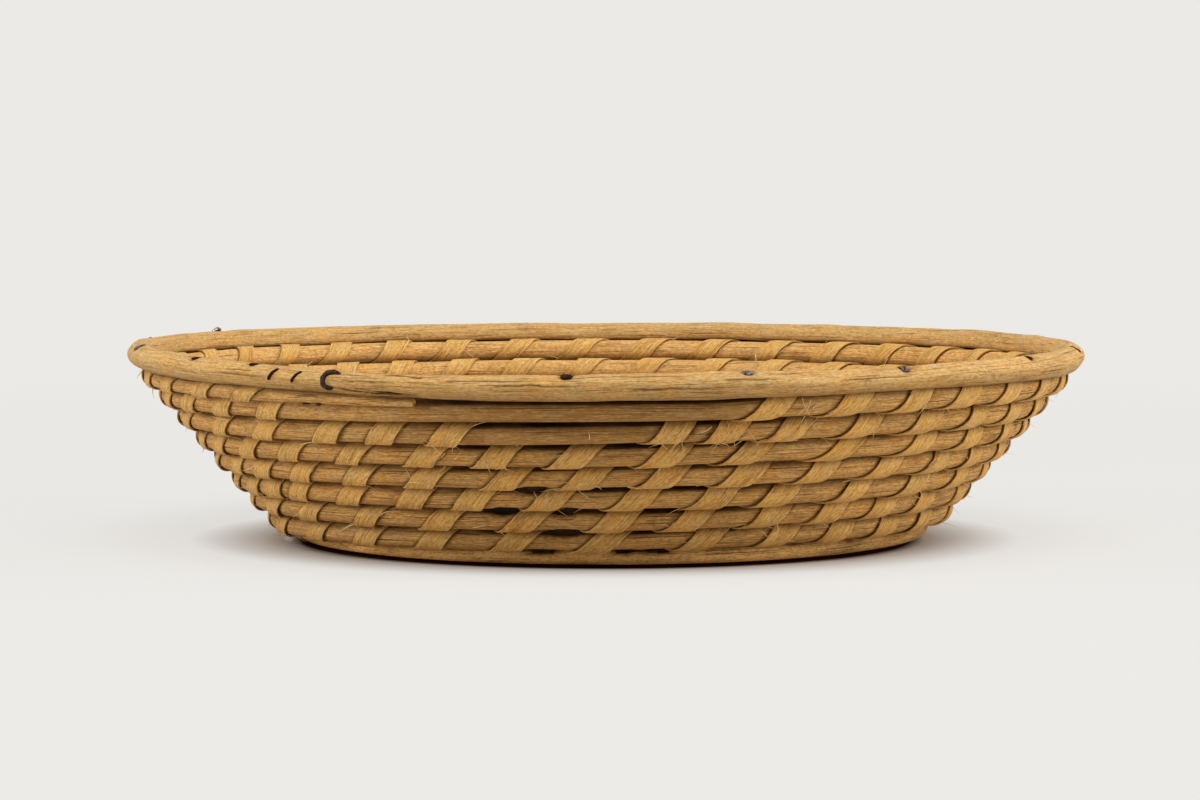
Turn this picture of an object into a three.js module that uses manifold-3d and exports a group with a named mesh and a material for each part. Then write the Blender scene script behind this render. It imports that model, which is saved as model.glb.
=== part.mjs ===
// Proofing basket: a flat-bottomed bowl coiled from cane rod and bound with flat cane strip.
// Units are millimetres. It stands on z = 0 around x = y = 0, and its front is towards -Y.
// Places along the coil are given in turns. Turn 0 is the front of the outermost turn of the base,
// and the coil climbs to the right from there, so turn 0.25 is its right side and turn 1 its front again.
import * as THREE from "three";
import { mergeVertices } from "three/addons/utils/BufferGeometryUtils.js";
import Module from "manifold-3d";

// Coil of cane rod
const baseRadius = 80.3; // middle of the rod at turn 0
const coreRadius = 4.2; // middle of the rod at the inner end of the base
const baseRodDiameter = 5.2;
const wallRodDiameter = 6.3;
const wallSlope = 49; // degrees from level
const bendStart = -0.1; // turns, where the flat base starts to rise
const bendEnd = 0.5; // turns, where the wall has its full slope
const bendRoom = 0.45; // added to the pitch where the wall curves, so that neighbouring strips stay clear
const baseEnd = 0.5; // turns, where the rod of the base is spliced to that of the wall
const wallSplice = 4.5; // turns, where the lower rod of the wall is spliced to the upper one
const coilEnd = 7.923;
const tailStart = coilEnd - 0.183; // turns, where the last turn starts to taper and the rim to come down
const tailReach = 0.26; // turns, over which the rim comes down by a turn of the coil
const tailSwell = 2.4; // how much the end of the coil is thicker than the room under the rim
const lean = 0.9; // how much the right side of the rim is raised, to level what the spiral tilts

// Binding of flat cane strip
const stripThickness = 0.4;
const stripWidth = 7.4; // measured along the rod
const baseStripWidth = 5.4;
const stitchPitch = 20; // along the rod, from one stitch to the next
const baseStitches = 10; // to each turn of the base, so that they line up in spokes
const rodSeatGap = 0.42; // between a rod and the strip wound on it
const baseSeatGap = 0.32;
const stripGap = 0.2; // between the strips of two neighbouring turns
const strandBreak = 0.5; // turns, at the back, where one strip of the wall gives way to the next
const strandGap = 0.03; // turns, between the end of one strip and the start of the next
const leastStrand = 0.25; // turns, the shortest strip
const baseStrandGap = 0.1;
const frontStitches = [-2.4, 0.6, 5.3, -6.2, -9.1]; // right of the front, one stitch of each lower turn
const secondTurnBare = { from: coilEnd - 1.973, to: coilEnd - 1.893 }; // turns, bare at the front
const topTurnBare = { from: coilEnd - 1.035, to: coilEnd - 0.873 };
const tailBare = coilEnd - 0.103; // turns, from where the end of the coil is bare
const secondTurnStitches = [0.5, 13.8]; // right of the front, a stitch on each side of the bare stretch
const topTurnStitch = -2.4;
const baseBare = -1.1; // turns, from where the rod of the base is bare
const baseStrandStarts = [0.33, 0.62, 0.87]; // shares of the way out, where each strip of the base starts

// Rim rod, lapped at the front left
const rimRodDiameter = 6.4;
const lapAngle = -33; // degrees from the front, where the pointed outer end of the rim lies
const lapGap = 0.4;
const lapTip = 0.4; // thickness of a tapered end

// Nails that hold the rim down, at degrees from the front
const nailAngles = [
  -5, 15.3, 35.2, 58.7, 80, 102, 124, 146,
  168, 190, 212, 241.2, 263, 285, 303.5, 314.8,
];
const nailShankDiameter = 1.2;
const nailHeadDiameter = 3.4;
const nailHeadHeight = 0.6;
const nailGrip = 4; // depth in the coil
const nailGap = 0.3;
const raisedNail = 11; // counted from 0, one that stands proud of the rim
const raisedBy = 2;

// Staples at the lap
const stapleAngles = [-40.6, -37, -33.4]; // degrees from the front, of their tops
const stapleWires = [0.7, 0.7, 1.1]; // diameters
const stapleLeans = [-2, -2.4, -0.6]; // how far the foot stands right of the top
const stapleTops = [48, 42, 40]; // degrees up from level, round the rim rod
const stapleFeet = [-12, -16, -42];
const stapleGrip = 1.3; // depth of its legs in the rim

// Facets
const hexagon = 6;
const octagon = 8;
const wallSteps = 40; // per turn
const baseSteps = 2 * baseStitches;
const rimSteps = 44;
const spliceSteps = 2;
const lapSteps = 3;
const stapleSteps = 4;

const fullTurn = 2 * Math.PI;
const radians = Math.PI / 180;
const hexFlat = Math.cos(Math.PI / hexagon);
const octFlat = Math.cos(Math.PI / octagon);
const stitchSides = hexagon; // a strip bends where the rod has its corners

const slope = wallSlope * radians;
const baseRodRadius = baseRodDiameter / 2;
const wallRodRadius = wallRodDiameter / 2;
const rimRodRadius = rimRodDiameter / 2;
const wallRise = rodSeatGap + stripThickness;
const baseRise = baseSeatGap + stripThickness;
const wallPitch = wallRodDiameter * hexFlat + 2 * wallRise + stripGap;
const basePitch = baseRodDiameter + (2 * baseRise) / hexFlat + stripGap;
const baseHeight = baseRodRadius * hexFlat + baseRise;
const baseCount = Math.round((baseEnd + (baseRadius - coreRadius) / basePitch) * baseSteps);
const coreStart = baseEnd - baseCount / baseSteps;
const rimSpacing = wallRodRadius * hexFlat + wallRise + stripGap + rimRodRadius * octFlat;

const smooth = (low, high, value) => THREE.MathUtils.smoothstep(value, low, high);
const mix = THREE.MathUtils.lerp;

// The section through base and wall: rows counts the turns of rod from the outermost one of the base.
function profile(rows) {
  const bendRate = slope / (bendEnd - bendStart);
  const bendRadius = (wallPitch + bendRoom) / bendRate;
  const flat = Math.min(rows, bendStart);
  const bend = bendRate * (THREE.MathUtils.clamp(rows, bendStart, bendEnd) - bendStart);
  const straight = Math.max(rows - bendEnd, 0) * wallPitch;
  return {
    radius: baseRadius + basePitch * flat + bendRadius * Math.sin(bend) + straight * Math.cos(slope),
    height: baseHeight + bendRadius * (1 - Math.cos(bend)) + straight * Math.sin(slope),
    slope: bend,
  };
}

const wallHeight = profile(coilEnd).height - baseHeight;
const centring = (wallPitch * Math.cos(slope)) / 4; // brings the rim over the middle of the base

// A point at an angle in turns. From its base up the wall leans and moves over a little.
function at(angle, radius, height) {
  const share = Math.max(height - baseHeight, 0) / wallHeight;
  const right = Math.sin(fullTurn * angle);
  const front = Math.cos(fullTurn * angle);
  const shift = share * centring;
  return new THREE.Vector3(radius * right + shift, -radius * front - shift, height + share * lean * right);
}

// How far the rim has come down beside the last turn, from 0 to 1.
const taper = (turns) => smooth(tailStart, tailStart + tailReach, turns);

// From the middle of the turn below the rim to that of the rim.
const rimAbove = (w) => rimSpacing + wallPitch * (1 - w);

// The middle of the rod and its radius. The last turn tapers as the rim comes down, and moves out
// of the stack into the valley between the turn below it and the rim.
function wallRod(turns) {
  const w = taper(turns);
  if (w === 0) return { radius: wallRodRadius, up: 0, out: 0 };
  const below = mix(wallPitch - 2 * wallRodRadius, wallRise / hexFlat + stripGap, w);
  const above = rimSpacing - wallRodRadius - rimRodRadius;
  const taken = wallRodRadius + rimRodRadius + below + above;
  const radius = (rimAbove(w) + tailSwell * w * w - taken) / 2;
  const a = wallRodRadius + radius + below;
  const b = rimRodRadius + radius + above;
  const up = (a * a - b * b + rimAbove(w) ** 2) / (2 * rimAbove(w));
  return { radius, up: up - wallPitch, out: Math.sqrt(Math.max(a * a - up * up, 0)) };
}

const baseRod = () => ({ radius: baseRodRadius, up: 0, out: 0 });

// A point of the coil: out is square to the wall, up runs along it.
function coilPoint(turns, out, up) {
  const p = profile(turns);
  const radius = p.radius + out * Math.sin(p.slope) + up * Math.cos(p.slope);
  return at(turns, radius, p.height - out * Math.cos(p.slope) + up * Math.sin(p.slope));
}

// Rows of the rim above the outermost turn of the base: it lies on the top turn all the way round.
function rimRows(angle) {
  const start = tailStart + tailReach - 1;
  const turns = start + THREE.MathUtils.euclideanModulo(angle - start, 1);
  return turns - 1 + rimAbove(taper(turns)) / wallPitch;
}

const rimRadius = profile(rimRows(0)).radius;

function rimPoint(angle, out, up) {
  const p = profile(rimRows(angle));
  return at(angle, p.radius + out, p.height + up);
}

// A regular section as [out, up] pairs.
const regular = (radius, sides, first) =>
  Array.from({ length: sides }, (_, i) => {
    const a = first + (fullTurn * i) / sides;
    return [radius * Math.cos(a), radius * Math.sin(a)];
  });

// Half the width of a section at a level of one of its two axes.
function halfWidth(section, axis, level) {
  let most = 0;
  section.forEach((a, i) => {
    const b = section[(i + 1) % section.length];
    const low = Math.min(a[axis], b[axis]);
    const high = Math.max(a[axis], b[axis]);
    if (level < low || level > high || high - low < 1e-9) return;
    const share = (level - a[axis]) / (b[axis] - a[axis]);
    most = Math.max(most, Math.abs(mix(a[1 - axis], b[1 - axis], share)));
  });
  return most;
}

// The section with all beyond a level cut off: side 1 keeps what is above the level, -1 what is below.
function cutSection(section, axis, level, side) {
  const edge = halfWidth(section, axis, level);
  return section.map((point) => {
    if (side * (point[axis] - level) >= 0) return point;
    const cut = [...point];
    cut[axis] = level;
    cut[1 - axis] = THREE.MathUtils.clamp(point[1 - axis], -edge, edge);
    return cut;
  });
}

// A closed body through rings of points. The rings turn clockwise as seen from the last one,
// and their ends are closed by fans from the given corners. The turned side is split along its
// other diagonals, which keeps the inner face of a thin strip parallel to its outer ones.
function loft(rings, startCorner = 0, endCorner = 0, turnedSide = -1) {
  const n = rings[0].length;
  const last = (rings.length - 1) * n;
  const index = [];
  for (let i = 0; i < rings.length - 1; i += 1) {
    for (let j = 0; j < n; j += 1) {
      const a = i * n + j;
      const b = i * n + ((j + 1) % n);
      if (j === turnedSide) index.push(a, a + n, b, b, a + n, b + n);
      else index.push(a, a + n, b + n, a, b + n, b);
    }
  }
  for (let j = 1; j < n - 1; j += 1) {
    const [s0, s1, s2] = [startCorner, startCorner + j, startCorner + j + 1].map((k) => k % n);
    const [e0, e1, e2] = [endCorner, endCorner + j, endCorner + j + 1].map((k) => last + (k % n));
    index.push(s0, s1, s2, e0, e2, e1);
  }
  const geometry = new THREE.BufferGeometry().setFromPoints(rings.flat());
  return geometry.setIndex(index);
}

const evenly = (from, to, count) => Array.from({ length: count + 1 }, (_, i) => mix(from, to, i / count));

const spliceTurns = spliceSteps / wallSteps;

// The level of a splice's slanted cut, which falls from the top of the rod to its bottom.
function spliceLevel(turns, splice) {
  const half = wallRodRadius * hexFlat - lapTip;
  return mix(half, -half, (turns - splice) / spliceTurns);
}

// One length of rod. Its ends are cut on the slant where it is spliced to its neighbour.
function coilRod({ turns, rodAt, firstCorner, startSplice, endSplice }) {
  const rings = turns.map((t) => {
    const rod = rodAt(t);
    let section = regular(rod.radius, hexagon, firstCorner);
    if (startSplice !== undefined && t < startSplice + (spliceSteps + 0.5) / wallSteps) {
      section = cutSection(section, 1, spliceLevel(t, startSplice) + lapGap / 2, 1);
    }
    if (endSplice !== undefined && t > endSplice - 0.5 / wallSteps) {
      section = cutSection(section, 1, spliceLevel(t, endSplice) - lapGap / 2, -1);
    }
    return section.map(([out, up]) => coilPoint(t, rod.out + out, rod.up + up));
  });
  return loft(rings, 1, 4);
}

const baseTurns = [
  ...evenly(coreStart, baseEnd, baseCount),
  ...evenly(baseEnd, baseEnd + spliceTurns, spliceSteps).slice(1),
];
const lowerEnd = wallSplice + spliceTurns;
const lowerTurns = evenly(baseEnd, lowerEnd, Math.round((lowerEnd - baseEnd) * wallSteps));
const upperTurns = evenly(wallSplice, coilEnd, Math.round((coilEnd - wallSplice) * wallSteps));

// A point on a faceted rod, or at a height over its surface, along its straight pieces.
function onRod({ turns, rodAt }, t, around, rise) {
  const next = Math.max(1, turns.findIndex((value) => value >= t));
  const ends = [turns[next - 1], turns[next]].map((turn) => {
    const rod = rodAt(turn);
    const reach = rod.radius + rise / hexFlat;
    return coilPoint(turn, rod.out + reach * Math.cos(around), rod.up + reach * Math.sin(around));
  });
  return ends[0].lerp(ends[1], (t - turns[next - 1]) / (turns[next] - turns[next - 1]));
}

// Places where a strip bends as it winds on, as a turn along the coil and an angle round the rod.
// They are counted both ways from the given one.
function bends(from, to, stitchTurns, given) {
  const corner = fullTurn / stitchSides;
  const list = [given];
  while (list[0].t > from) {
    const next = list[0];
    list.unshift({ t: next.t - stitchTurns(next.t) / stitchSides, around: next.around - corner });
  }
  while (list[list.length - 1].t < to) {
    const last = list[list.length - 1];
    list.push({ t: last.t + stitchTurns(last.t) / stitchSides, around: last.around + corner });
  }
  return list.filter(({ t }) => t > from && t < to);
}

const wallStitch = (t) => stitchPitch / (fullTurn * profile(t).radius);
const baseStitch = () => 1 / baseStitches;

// Where a strip crosses the outer side of the rod, at a distance to the right of the front.
const frontStitch = (turns, right) => ({
  t: turns + right / (fullTurn * profile(turns).radius),
  around: 0,
});

// A strip wound round a rod. Crowned strips have three corners in section and flat ones four.
function binding(rod, list, width, seat, crowned) {
  const rise = seat + stripThickness;
  const rings = list.map(({ t, around }) => {
    const half = width / 2 / (fullTurn * profile(t).radius);
    const point = (shift, height) => onRod(rod, t + shift, around, height);
    if (crowned) return [point(half, seat), point(0, rise), point(-half, seat)];
    return [point(half, seat), point(half, rise), point(-half, rise), point(-half, seat)];
  });
  const innerSide = rings[0].length - 1;
  return loft(rings, 0, 0, innerSide);
}

const wasm = await Module();
wasm.setup();

function toSolid(geometry) {
  const bare = new THREE.BufferGeometry();
  bare.setAttribute("position", geometry.getAttribute("position"));
  bare.setIndex(geometry.getIndex());
  const merged = mergeVertices(bare, 1e-4);
  const vertProperties = merged.getAttribute("position").array;
  const triVerts = new Uint32Array(merged.index.array);
  return new wasm.Manifold(new wasm.Mesh({ numProp: 3, vertProperties, triVerts }));
}

function toGeometry(solid) {
  const mesh = solid.getMesh();
  const geometry = new THREE.BufferGeometry();
  geometry.setAttribute("position", new THREE.BufferAttribute(mesh.vertProperties, 3));
  return geometry.setIndex(new THREE.BufferAttribute(mesh.triVerts, 1));
}

const drilled = (geometry, holes) =>
  toGeometry(holes.reduce((solid, hole) => solid.subtract(toSolid(hole)), toSolid(geometry)));

// The rim rod: an eight-sided section bent into a ring, each end cut on the slant over the other.
function rimRod() {
  const first = lapAngle / 360;
  const lap = lapSteps / rimSteps;
  const half = rimRodRadius * octFlat - lapTip;
  const rings = evenly(first, first + 1 + lap, rimSteps + lapSteps).map((angle, i) => {
    let section = regular(rimRodRadius, octagon, Math.PI / octagon);
    if (i <= lapSteps) {
      section = cutSection(section, 0, mix(half, -half, i / lapSteps) + lapGap / 2, 1);
    }
    if (i >= rimSteps) {
      section = cutSection(section, 0, mix(half, -half, (i - rimSteps) / lapSteps) - lapGap / 2, -1);
    }
    return section.map(([out, up]) => rimPoint(angle, out, up));
  });
  return loft(rings, 0, 4);
}

// The top turn's stitches. A nail keeps out of the strip: where the strip is on the upper half
// of the rod, the nail moves along until it is on the lower one.
const topStitch = frontStitch(Math.floor(coilEnd), topTurnStitch);
const topStitches = bends(coilEnd - 1, coilEnd, wallStitch, topStitch);

function nailTurn(angle) {
  const start = tailStart + tailReach - 1;
  const turns = start + THREE.MathUtils.euclideanModulo(angle - start, 1);
  const next = topStitches.findIndex(({ t }) => t >= turns);
  if (next < 1 || turns < topTurnBare.to || turns > tailBare) return turns;
  const [a, b] = [topStitches[next - 1], topStitches[next]];
  const around = mix(a.around, b.around, (turns - a.t) / (b.t - a.t)) / fullTurn;
  const phase = THREE.MathUtils.euclideanModulo(around, 1);
  if (phase > 0.5) return turns;
  return turns + (phase < 0.25 ? -phase : 0.5 - phase) * wallStitch(turns);
}

// Where a nail goes: from the middle of the rim to the middle of the turn below it.
function nailLine(number) {
  const t = nailTurn(nailAngles[number] / 360);
  const below = t < coilEnd ? t : t - 1;
  const rod = wallRod(below);
  const rim = rimPoint(t, 0, 0);
  const coil = coilPoint(below, rod.out, rod.up);
  const up = rim.clone().sub(coil).normalize();
  const spacing = rim.distanceTo(coil);
  const raise = number === raisedNail ? raisedBy : 0;
  const seat = rim.clone().addScaledVector(up, rimRodRadius + raise);
  return { seat, up, shank: raise + rimRodRadius + spacing + nailGrip - rod.radius };
}

function nailGeometry(shank) {
  const r = nailShankDiameter / 2;
  const outline = [
    [0, -shank],
    [r, -shank],
    [r, 0],
    [nailHeadDiameter / 2, 0],
    [0, nailHeadHeight],
  ].map(([x, y]) => new THREE.Vector2(x, y));
  return new THREE.LatheGeometry(outline, hexagon);
}

const yAxis = new THREE.Vector3(0, 1, 0);

function standOn(object, seat, up) {
  object.position.copy(seat);
  object.quaternion.setFromUnitVectors(yAxis, up);
  return object;
}

function nailHole({ seat, up, shank }) {
  const radius = nailShankDiameter / 2 + nailGap;
  const length = shank + 2 * nailGap;
  const hole = new THREE.Mesh(new THREE.CylinderGeometry(radius, radius, length, hexagon));
  const middle = seat.clone().addScaledVector(up, nailGap - length / 2);
  standOn(hole, middle, up).updateMatrix();
  return hole.geometry.applyMatrix4(hole.matrix);
}

// The route of a staple's wire: a leg into the rim, an arc over its outer side and a leg back in.
function stapleRoute(number, stretch) {
  const wire = stapleWires[number] / 2;
  const inside = rimRodRadius - stapleGrip - stretch;
  const outside = rimRodRadius + wire + lapGap / 2;
  const [top, foot] = [stapleTops[number], stapleFeet[number]];
  const arc = evenly(top, foot, stapleSteps).map((a) => [a, outside]);
  const stops = [[top, inside], ...arc, [foot, inside]];
  return stops.map(([a, reach]) => {
    const share = (top - a) / (top - foot);
    const shift = (share * stapleLeans[number]) / (fullTurn * rimRadius);
    const angle = stapleAngles[number] / 360 + shift;
    return rimPoint(angle, reach * Math.cos(a * radians), reach * Math.sin(a * radians));
  });
}

// A round wire along straight pieces, mitred where they meet.
function wireLoft(route, radius, sides) {
  const [first, second, last] = [route[0], route[1], route[route.length - 1]];
  const side = second.clone().sub(first).cross(last.clone().sub(first)).normalize();
  const rings = route.map((point, i) => {
    const before = point.clone().sub(route[Math.max(i - 1, 0)]).normalize();
    const after = route[Math.min(i + 1, route.length - 1)].clone().sub(point).normalize();
    const ahead = before.clone().add(after).normalize();
    const across = side.clone().addScaledVector(ahead, -side.dot(ahead)).normalize();
    const other = across.clone().cross(ahead);
    const widen = 1 / Math.max(ahead.dot(i ? before : after), 0.5);
    return regular(radius, sides, 0).map(([a, b]) =>
      point.clone().addScaledVector(across, a).addScaledVector(other, b * widen),
    );
  });
  return loft(rings);
}

// Materials
const cane = (color, roughness) => new THREE.MeshStandardMaterial({ color, roughness, metalness: 0 });
const steel = () => new THREE.MeshStandardMaterial({ color: 0x5a5450, roughness: 0.45, metalness: 0.9 });
const rodColor = 0xb08d5c;
const stripColor = 0xc79a5e;
const rimColor = 0xcda768;

const basket = new THREE.Group();

function add(parent, name, geometry, material) {
  const mesh = new THREE.Mesh(geometry, material);
  mesh.name = name;
  parent.add(mesh);
  return mesh;
}

const nails = nailAngles.map((_, i) => nailLine(i));
const nailHoles = nails.map(nailHole);
const stapleHoles = stapleAngles.map((_, i) =>
  wireLoft(stapleRoute(i, nailGap), stapleWires[i] / 2 + nailGap, hexagon),
);

// Coil
const coil = new THREE.Group();
basket.add(coil);
const baseLength = { turns: baseTurns, rodAt: baseRod, firstCorner: Math.PI / hexagon, endSplice: baseEnd };
const lowerLength = {
  turns: lowerTurns,
  rodAt: wallRod,
  firstCorner: 0,
  startSplice: baseEnd,
  endSplice: wallSplice,
};
const upperLength = { turns: upperTurns, rodAt: wallRod, firstCorner: 0, startSplice: wallSplice };
add(coil, "base_coil_rod", coilRod(baseLength), cane(rodColor, 0.75));
add(coil, "wall_coil_rod_lower", coilRod(lowerLength), cane(rodColor, 0.75));
add(coil, "wall_coil_rod_upper", drilled(coilRod(upperLength), nailHoles), cane(rodColor, 0.75));

// Rim
add(basket, "rim_rod", drilled(rimRod(), [...nailHoles, ...stapleHoles]), cane(rimColor, 0.7));

// Binding of the base, in strips from its inner end to where its last turn lies bare
const bindings = new THREE.Group();
basket.add(bindings);
const baseStrands = ["inner", "middle", "outer"];
const boundTurns = baseBare - coreStart;

// A strip of the base starts at a whole stitch, so that its stitches line up with those of the others.
function strandStart(number) {
  const stitches = Math.round(baseStrandStarts[number] * boundTurns * baseStitches);
  return coreStart + stitches / baseStitches;
}

baseStrands.forEach((place, i) => {
  const last = i === baseStrands.length - 1;
  const from = strandStart(i);
  const to = last ? baseBare : strandStart(i + 1) - baseStrandGap;
  const list = bends(from, to, baseStitch, { t: from + 0.5 / baseSteps, around: Math.PI / 2 });
  const strip = binding(baseLength, list, baseStripWidth, baseSeatGap, !last);
  add(bindings, `base_binding_${place}`, strip, cane(stripColor, 0.6));
});
// Binding of the wall: a new strip for each turn. The top two turns have a bare stretch at the front.
const lowTurns = Math.floor(secondTurnBare.from - strandBreak - leastStrand);
const wallStrands = Array.from({ length: lowTurns }, (_, i) => ({
  from: i ? i + strandBreak + strandGap / 2 : baseEnd + spliceTurns + strandGap,
  to: i + 1 + strandBreak - strandGap / 2,
  stitch: frontStitch(i + 1, frontStitches[i] ?? 0),
}));
wallStrands.push({
  from: lowTurns + strandBreak + strandGap / 2,
  to: secondTurnBare.from,
  stitch: frontStitch(lowTurns + 1, secondTurnStitches[0]),
});
wallStrands.push({
  from: secondTurnBare.to,
  to: topTurnBare.from,
  stitch: frontStitch(lowTurns + 1, secondTurnStitches[1]),
});
wallStrands.push({ from: topTurnBare.to, to: tailBare, stitch: topStitch });
wallStrands.forEach(({ from, to, stitch }, i) => {
  const rod = from < wallSplice ? lowerLength : upperLength;
  const strip = binding(rod, bends(from, to, wallStitch, stitch), stripWidth, rodSeatGap, true);
  add(bindings, `wall_binding_${i + 1}`, strip, cane(stripColor, 0.6));
});

// Nails and staples
const fasteners = new THREE.Group();
basket.add(fasteners);
nails.forEach(({ seat, up, shank }, i) => {
  const name = `rim_nail_${String(i + 1).padStart(2, "0")}`;
  standOn(add(fasteners, name, nailGeometry(shank), steel()), seat, up);
});
stapleAngles.forEach((_, i) => {
  add(fasteners, `lap_staple_${i + 1}`, wireLoft(stapleRoute(i, 0), stapleWires[i] / 2, hexagon), steel());
});

// The least gap between one turn of the coil and the next, measured on the rings of the rods.
function leastGap() {
  let least = Infinity;
  for (let t = coreStart + 1; t < tailStart; t += 1 / wallSteps) {
    const [here, below] = [t, t - 1].map((turn) => {
      const rod = turn < baseEnd ? baseRod() : wallRod(turn);
      return { middle: coilPoint(turn, rod.out, rod.up), radius: rod.radius };
    });
    least = Math.min(least, here.middle.distanceTo(below.middle) - here.radius - below.radius);
  }
  return least;
}
console.log(`least gap between turns of the coil: ${leastGap().toFixed(2)} mm`);

export default basket;
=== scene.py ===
# Proofing basket coiled from cane rod and bound with cane strip: its looks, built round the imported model.
# Lengths are in millimetres until a mesh is made. Places along the coil are in turns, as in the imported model:
# turn 0 is the front of the outermost turn of the base, and the coil climbs to the right from there.
import math

import bpy
import numpy as np
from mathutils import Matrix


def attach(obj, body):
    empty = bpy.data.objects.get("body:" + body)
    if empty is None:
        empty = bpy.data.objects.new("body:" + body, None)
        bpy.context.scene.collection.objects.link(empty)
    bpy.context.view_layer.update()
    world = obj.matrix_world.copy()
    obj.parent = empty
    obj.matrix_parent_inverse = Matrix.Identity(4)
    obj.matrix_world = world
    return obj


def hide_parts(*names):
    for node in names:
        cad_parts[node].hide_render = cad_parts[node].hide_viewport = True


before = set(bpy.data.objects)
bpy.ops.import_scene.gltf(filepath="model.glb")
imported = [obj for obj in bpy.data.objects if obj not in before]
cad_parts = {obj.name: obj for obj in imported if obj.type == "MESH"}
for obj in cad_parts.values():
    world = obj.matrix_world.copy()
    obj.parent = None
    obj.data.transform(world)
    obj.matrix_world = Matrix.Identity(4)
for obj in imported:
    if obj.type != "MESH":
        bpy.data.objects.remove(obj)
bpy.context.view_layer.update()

mm = 0.001
fullTurn = 2 * math.pi

# Shape of the coil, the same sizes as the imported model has
coil = {
    "baseRadius": 80.3,
    "coreRadius": 4.2,
    "baseRodDiameter": 5.2,
    "wallRodDiameter": 6.3,
    "wallSlope": 49.0,  # degrees from level
    "bendStart": -0.1,  # turns
    "bendEnd": 0.5,
    "bendRoom": 0.45,
    "baseEnd": 0.5,
    "wallSplice": 4.5,
    "spliceTurns": 0.05,
    "end": 7.937,
    "tailStart": 7.74,  # where the last turn starts to taper and the rim to come down
    "tailReach": 0.26,
    "tailSwell": 2.4,
    "lean": 0.9,
    "baseStitches": 10,  # to a turn
    "seatGap": 0.42,  # between the wall's rod and its strip
    "baseSeatGap": 0.32,
    "stripThickness": 0.4,
    "stripGap": 0.2,
    "rimRodDiameter": 6.4,
}
# Seeds of what is drawn at random, each the first of its kind
seeds = {
    "rod": 11,
    "rodFlats": 21,
    "rim": 31,
    "rimFlats": 41,
    "wallStrips": 100,
    "baseStrips": 201,
    "nails": 300,
    "wire": 310,
    "fibres": 400,
}
hexFlat = math.cos(math.pi / 6)
octFlat = math.cos(math.pi / 8)
slope = math.radians(coil["wallSlope"])
wallRadius = coil["wallRodDiameter"] / 2
rimRadius = coil["rimRodDiameter"] / 2
wallRise = coil["seatGap"] + coil["stripThickness"]
baseRise = coil["baseSeatGap"] + coil["stripThickness"]
wallPitch = 2 * wallRadius * hexFlat + 2 * wallRise + coil["stripGap"]
basePitch = coil["baseRodDiameter"] + 2 * baseRise / hexFlat + coil["stripGap"]
baseHeight = coil["baseRodDiameter"] / 2 * hexFlat + baseRise
rimSpacing = wallRadius * hexFlat + wallRise + coil["stripGap"] + rimRadius * octFlat
baseSteps = 2 * coil["baseStitches"]
baseCount = round((coil["baseEnd"] + (coil["baseRadius"] - coil["coreRadius"]) / basePitch) * baseSteps)
coreStart = coil["baseEnd"] - baseCount / baseSteps


def smooth(low, high, value):  # 0 below low, 1 above high, an easy curve between
    x = np.clip((value - low) / (high - low), 0, 1)
    return x * x * (3 - 2 * x)


def mix(a, b, share):  # a, and a share of the way from it to b
    return a + (b - a) * share


def together(*parts):  # the parts of each place side by side
    return np.stack(np.broadcast_arrays(*parts), -1)


# Radius, height and slope of the section at a count of rows: level, then an arc, then a straight slope.
def profileAt(rows):
    rate = slope / (coil["bendEnd"] - coil["bendStart"])
    arc = (wallPitch + coil["bendRoom"]) / rate
    flat = np.minimum(rows, coil["bendStart"])
    bend = rate * (np.clip(rows, coil["bendStart"], coil["bendEnd"]) - coil["bendStart"])
    straight = np.maximum(rows - coil["bendEnd"], 0) * wallPitch
    radius = coil["baseRadius"] + basePitch * flat + arc * np.sin(bend) + straight * math.cos(slope)
    height = baseHeight + arc * (1 - np.cos(bend)) + straight * math.sin(slope)
    return radius, height, bend


def circleAt(turns):  # length of one turn of the coil there
    return fullTurn * profileAt(turns)[0]


wallHeight = profileAt(coil["end"])[1] - baseHeight
centring = wallPitch * math.cos(slope) / 4


# A point from its angle in turns, its radius and its height. The wall leans and moves over as it rises.
def placeAt(angle, radius, height):
    share = np.maximum(height - baseHeight, 0) / wallHeight
    right, front = np.sin(fullTurn * angle), np.cos(fullTurn * angle)
    lean = share * coil["lean"] * right
    x = radius * right + share * centring
    y = -radius * front - share * centring
    return together(x, y, height + lean)


# A point near the coil: out is square to the wall, up runs along it.
def coilPoint(turns, out, up):
    radius, height, bend = profileAt(turns)
    radius = radius + out * np.sin(bend) + up * np.cos(bend)
    return placeAt(turns, radius, height - out * np.cos(bend) + up * np.sin(bend))


# How far the rim has come down beside the last turn, from 0 to 1.
def taperAt(turns):
    return smooth(coil["tailStart"], coil["tailStart"] + coil["tailReach"], turns)


def rimAbove(w):  # from the middle of the turn below the rim to that of the rim
    return rimSpacing + wallPitch * (1 - w)


# Where the rim lies, as a count of rows: that of the turn below it, and the rim's way up from there in rows.
def rimRows(angle):
    start = coil["tailStart"] + coil["tailReach"] - 1
    turns = start + np.mod(angle - start, 1)
    return turns - 1 + rimAbove(taperAt(turns)) / wallPitch


# A point near the rim: out is level and up is upright.
def rimPoint(angle, out, up):
    radius, height, _ = profileAt(rimRows(angle))
    return placeAt(angle, radius + out, height + up)


# The sines that a random line is made of, each faster and weaker than the one before
waves = {
    "count": 5,
    "faster": 0.9,
    "uneven": (0.85, 1.15),
    "weaker": 0.6,
    "height": 2.2,  # of their sum, which is divided by it
}


# A smooth random line between about -1 and 1: sines of seeded phase, the slowest one wave in a period.
def wander(value, period, seed):
    draw = np.random.default_rng(seed)
    total = 0
    for i in range(waves["count"]):
        rate = fullTurn / period * (1.0 + waves["faster"] * i) * draw.uniform(*waves["uneven"])
        total = total + np.sin(rate * value + draw.uniform(0, fullTurn)) / (1 + waves["weaker"] * i)
    return total / waves["height"]


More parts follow.
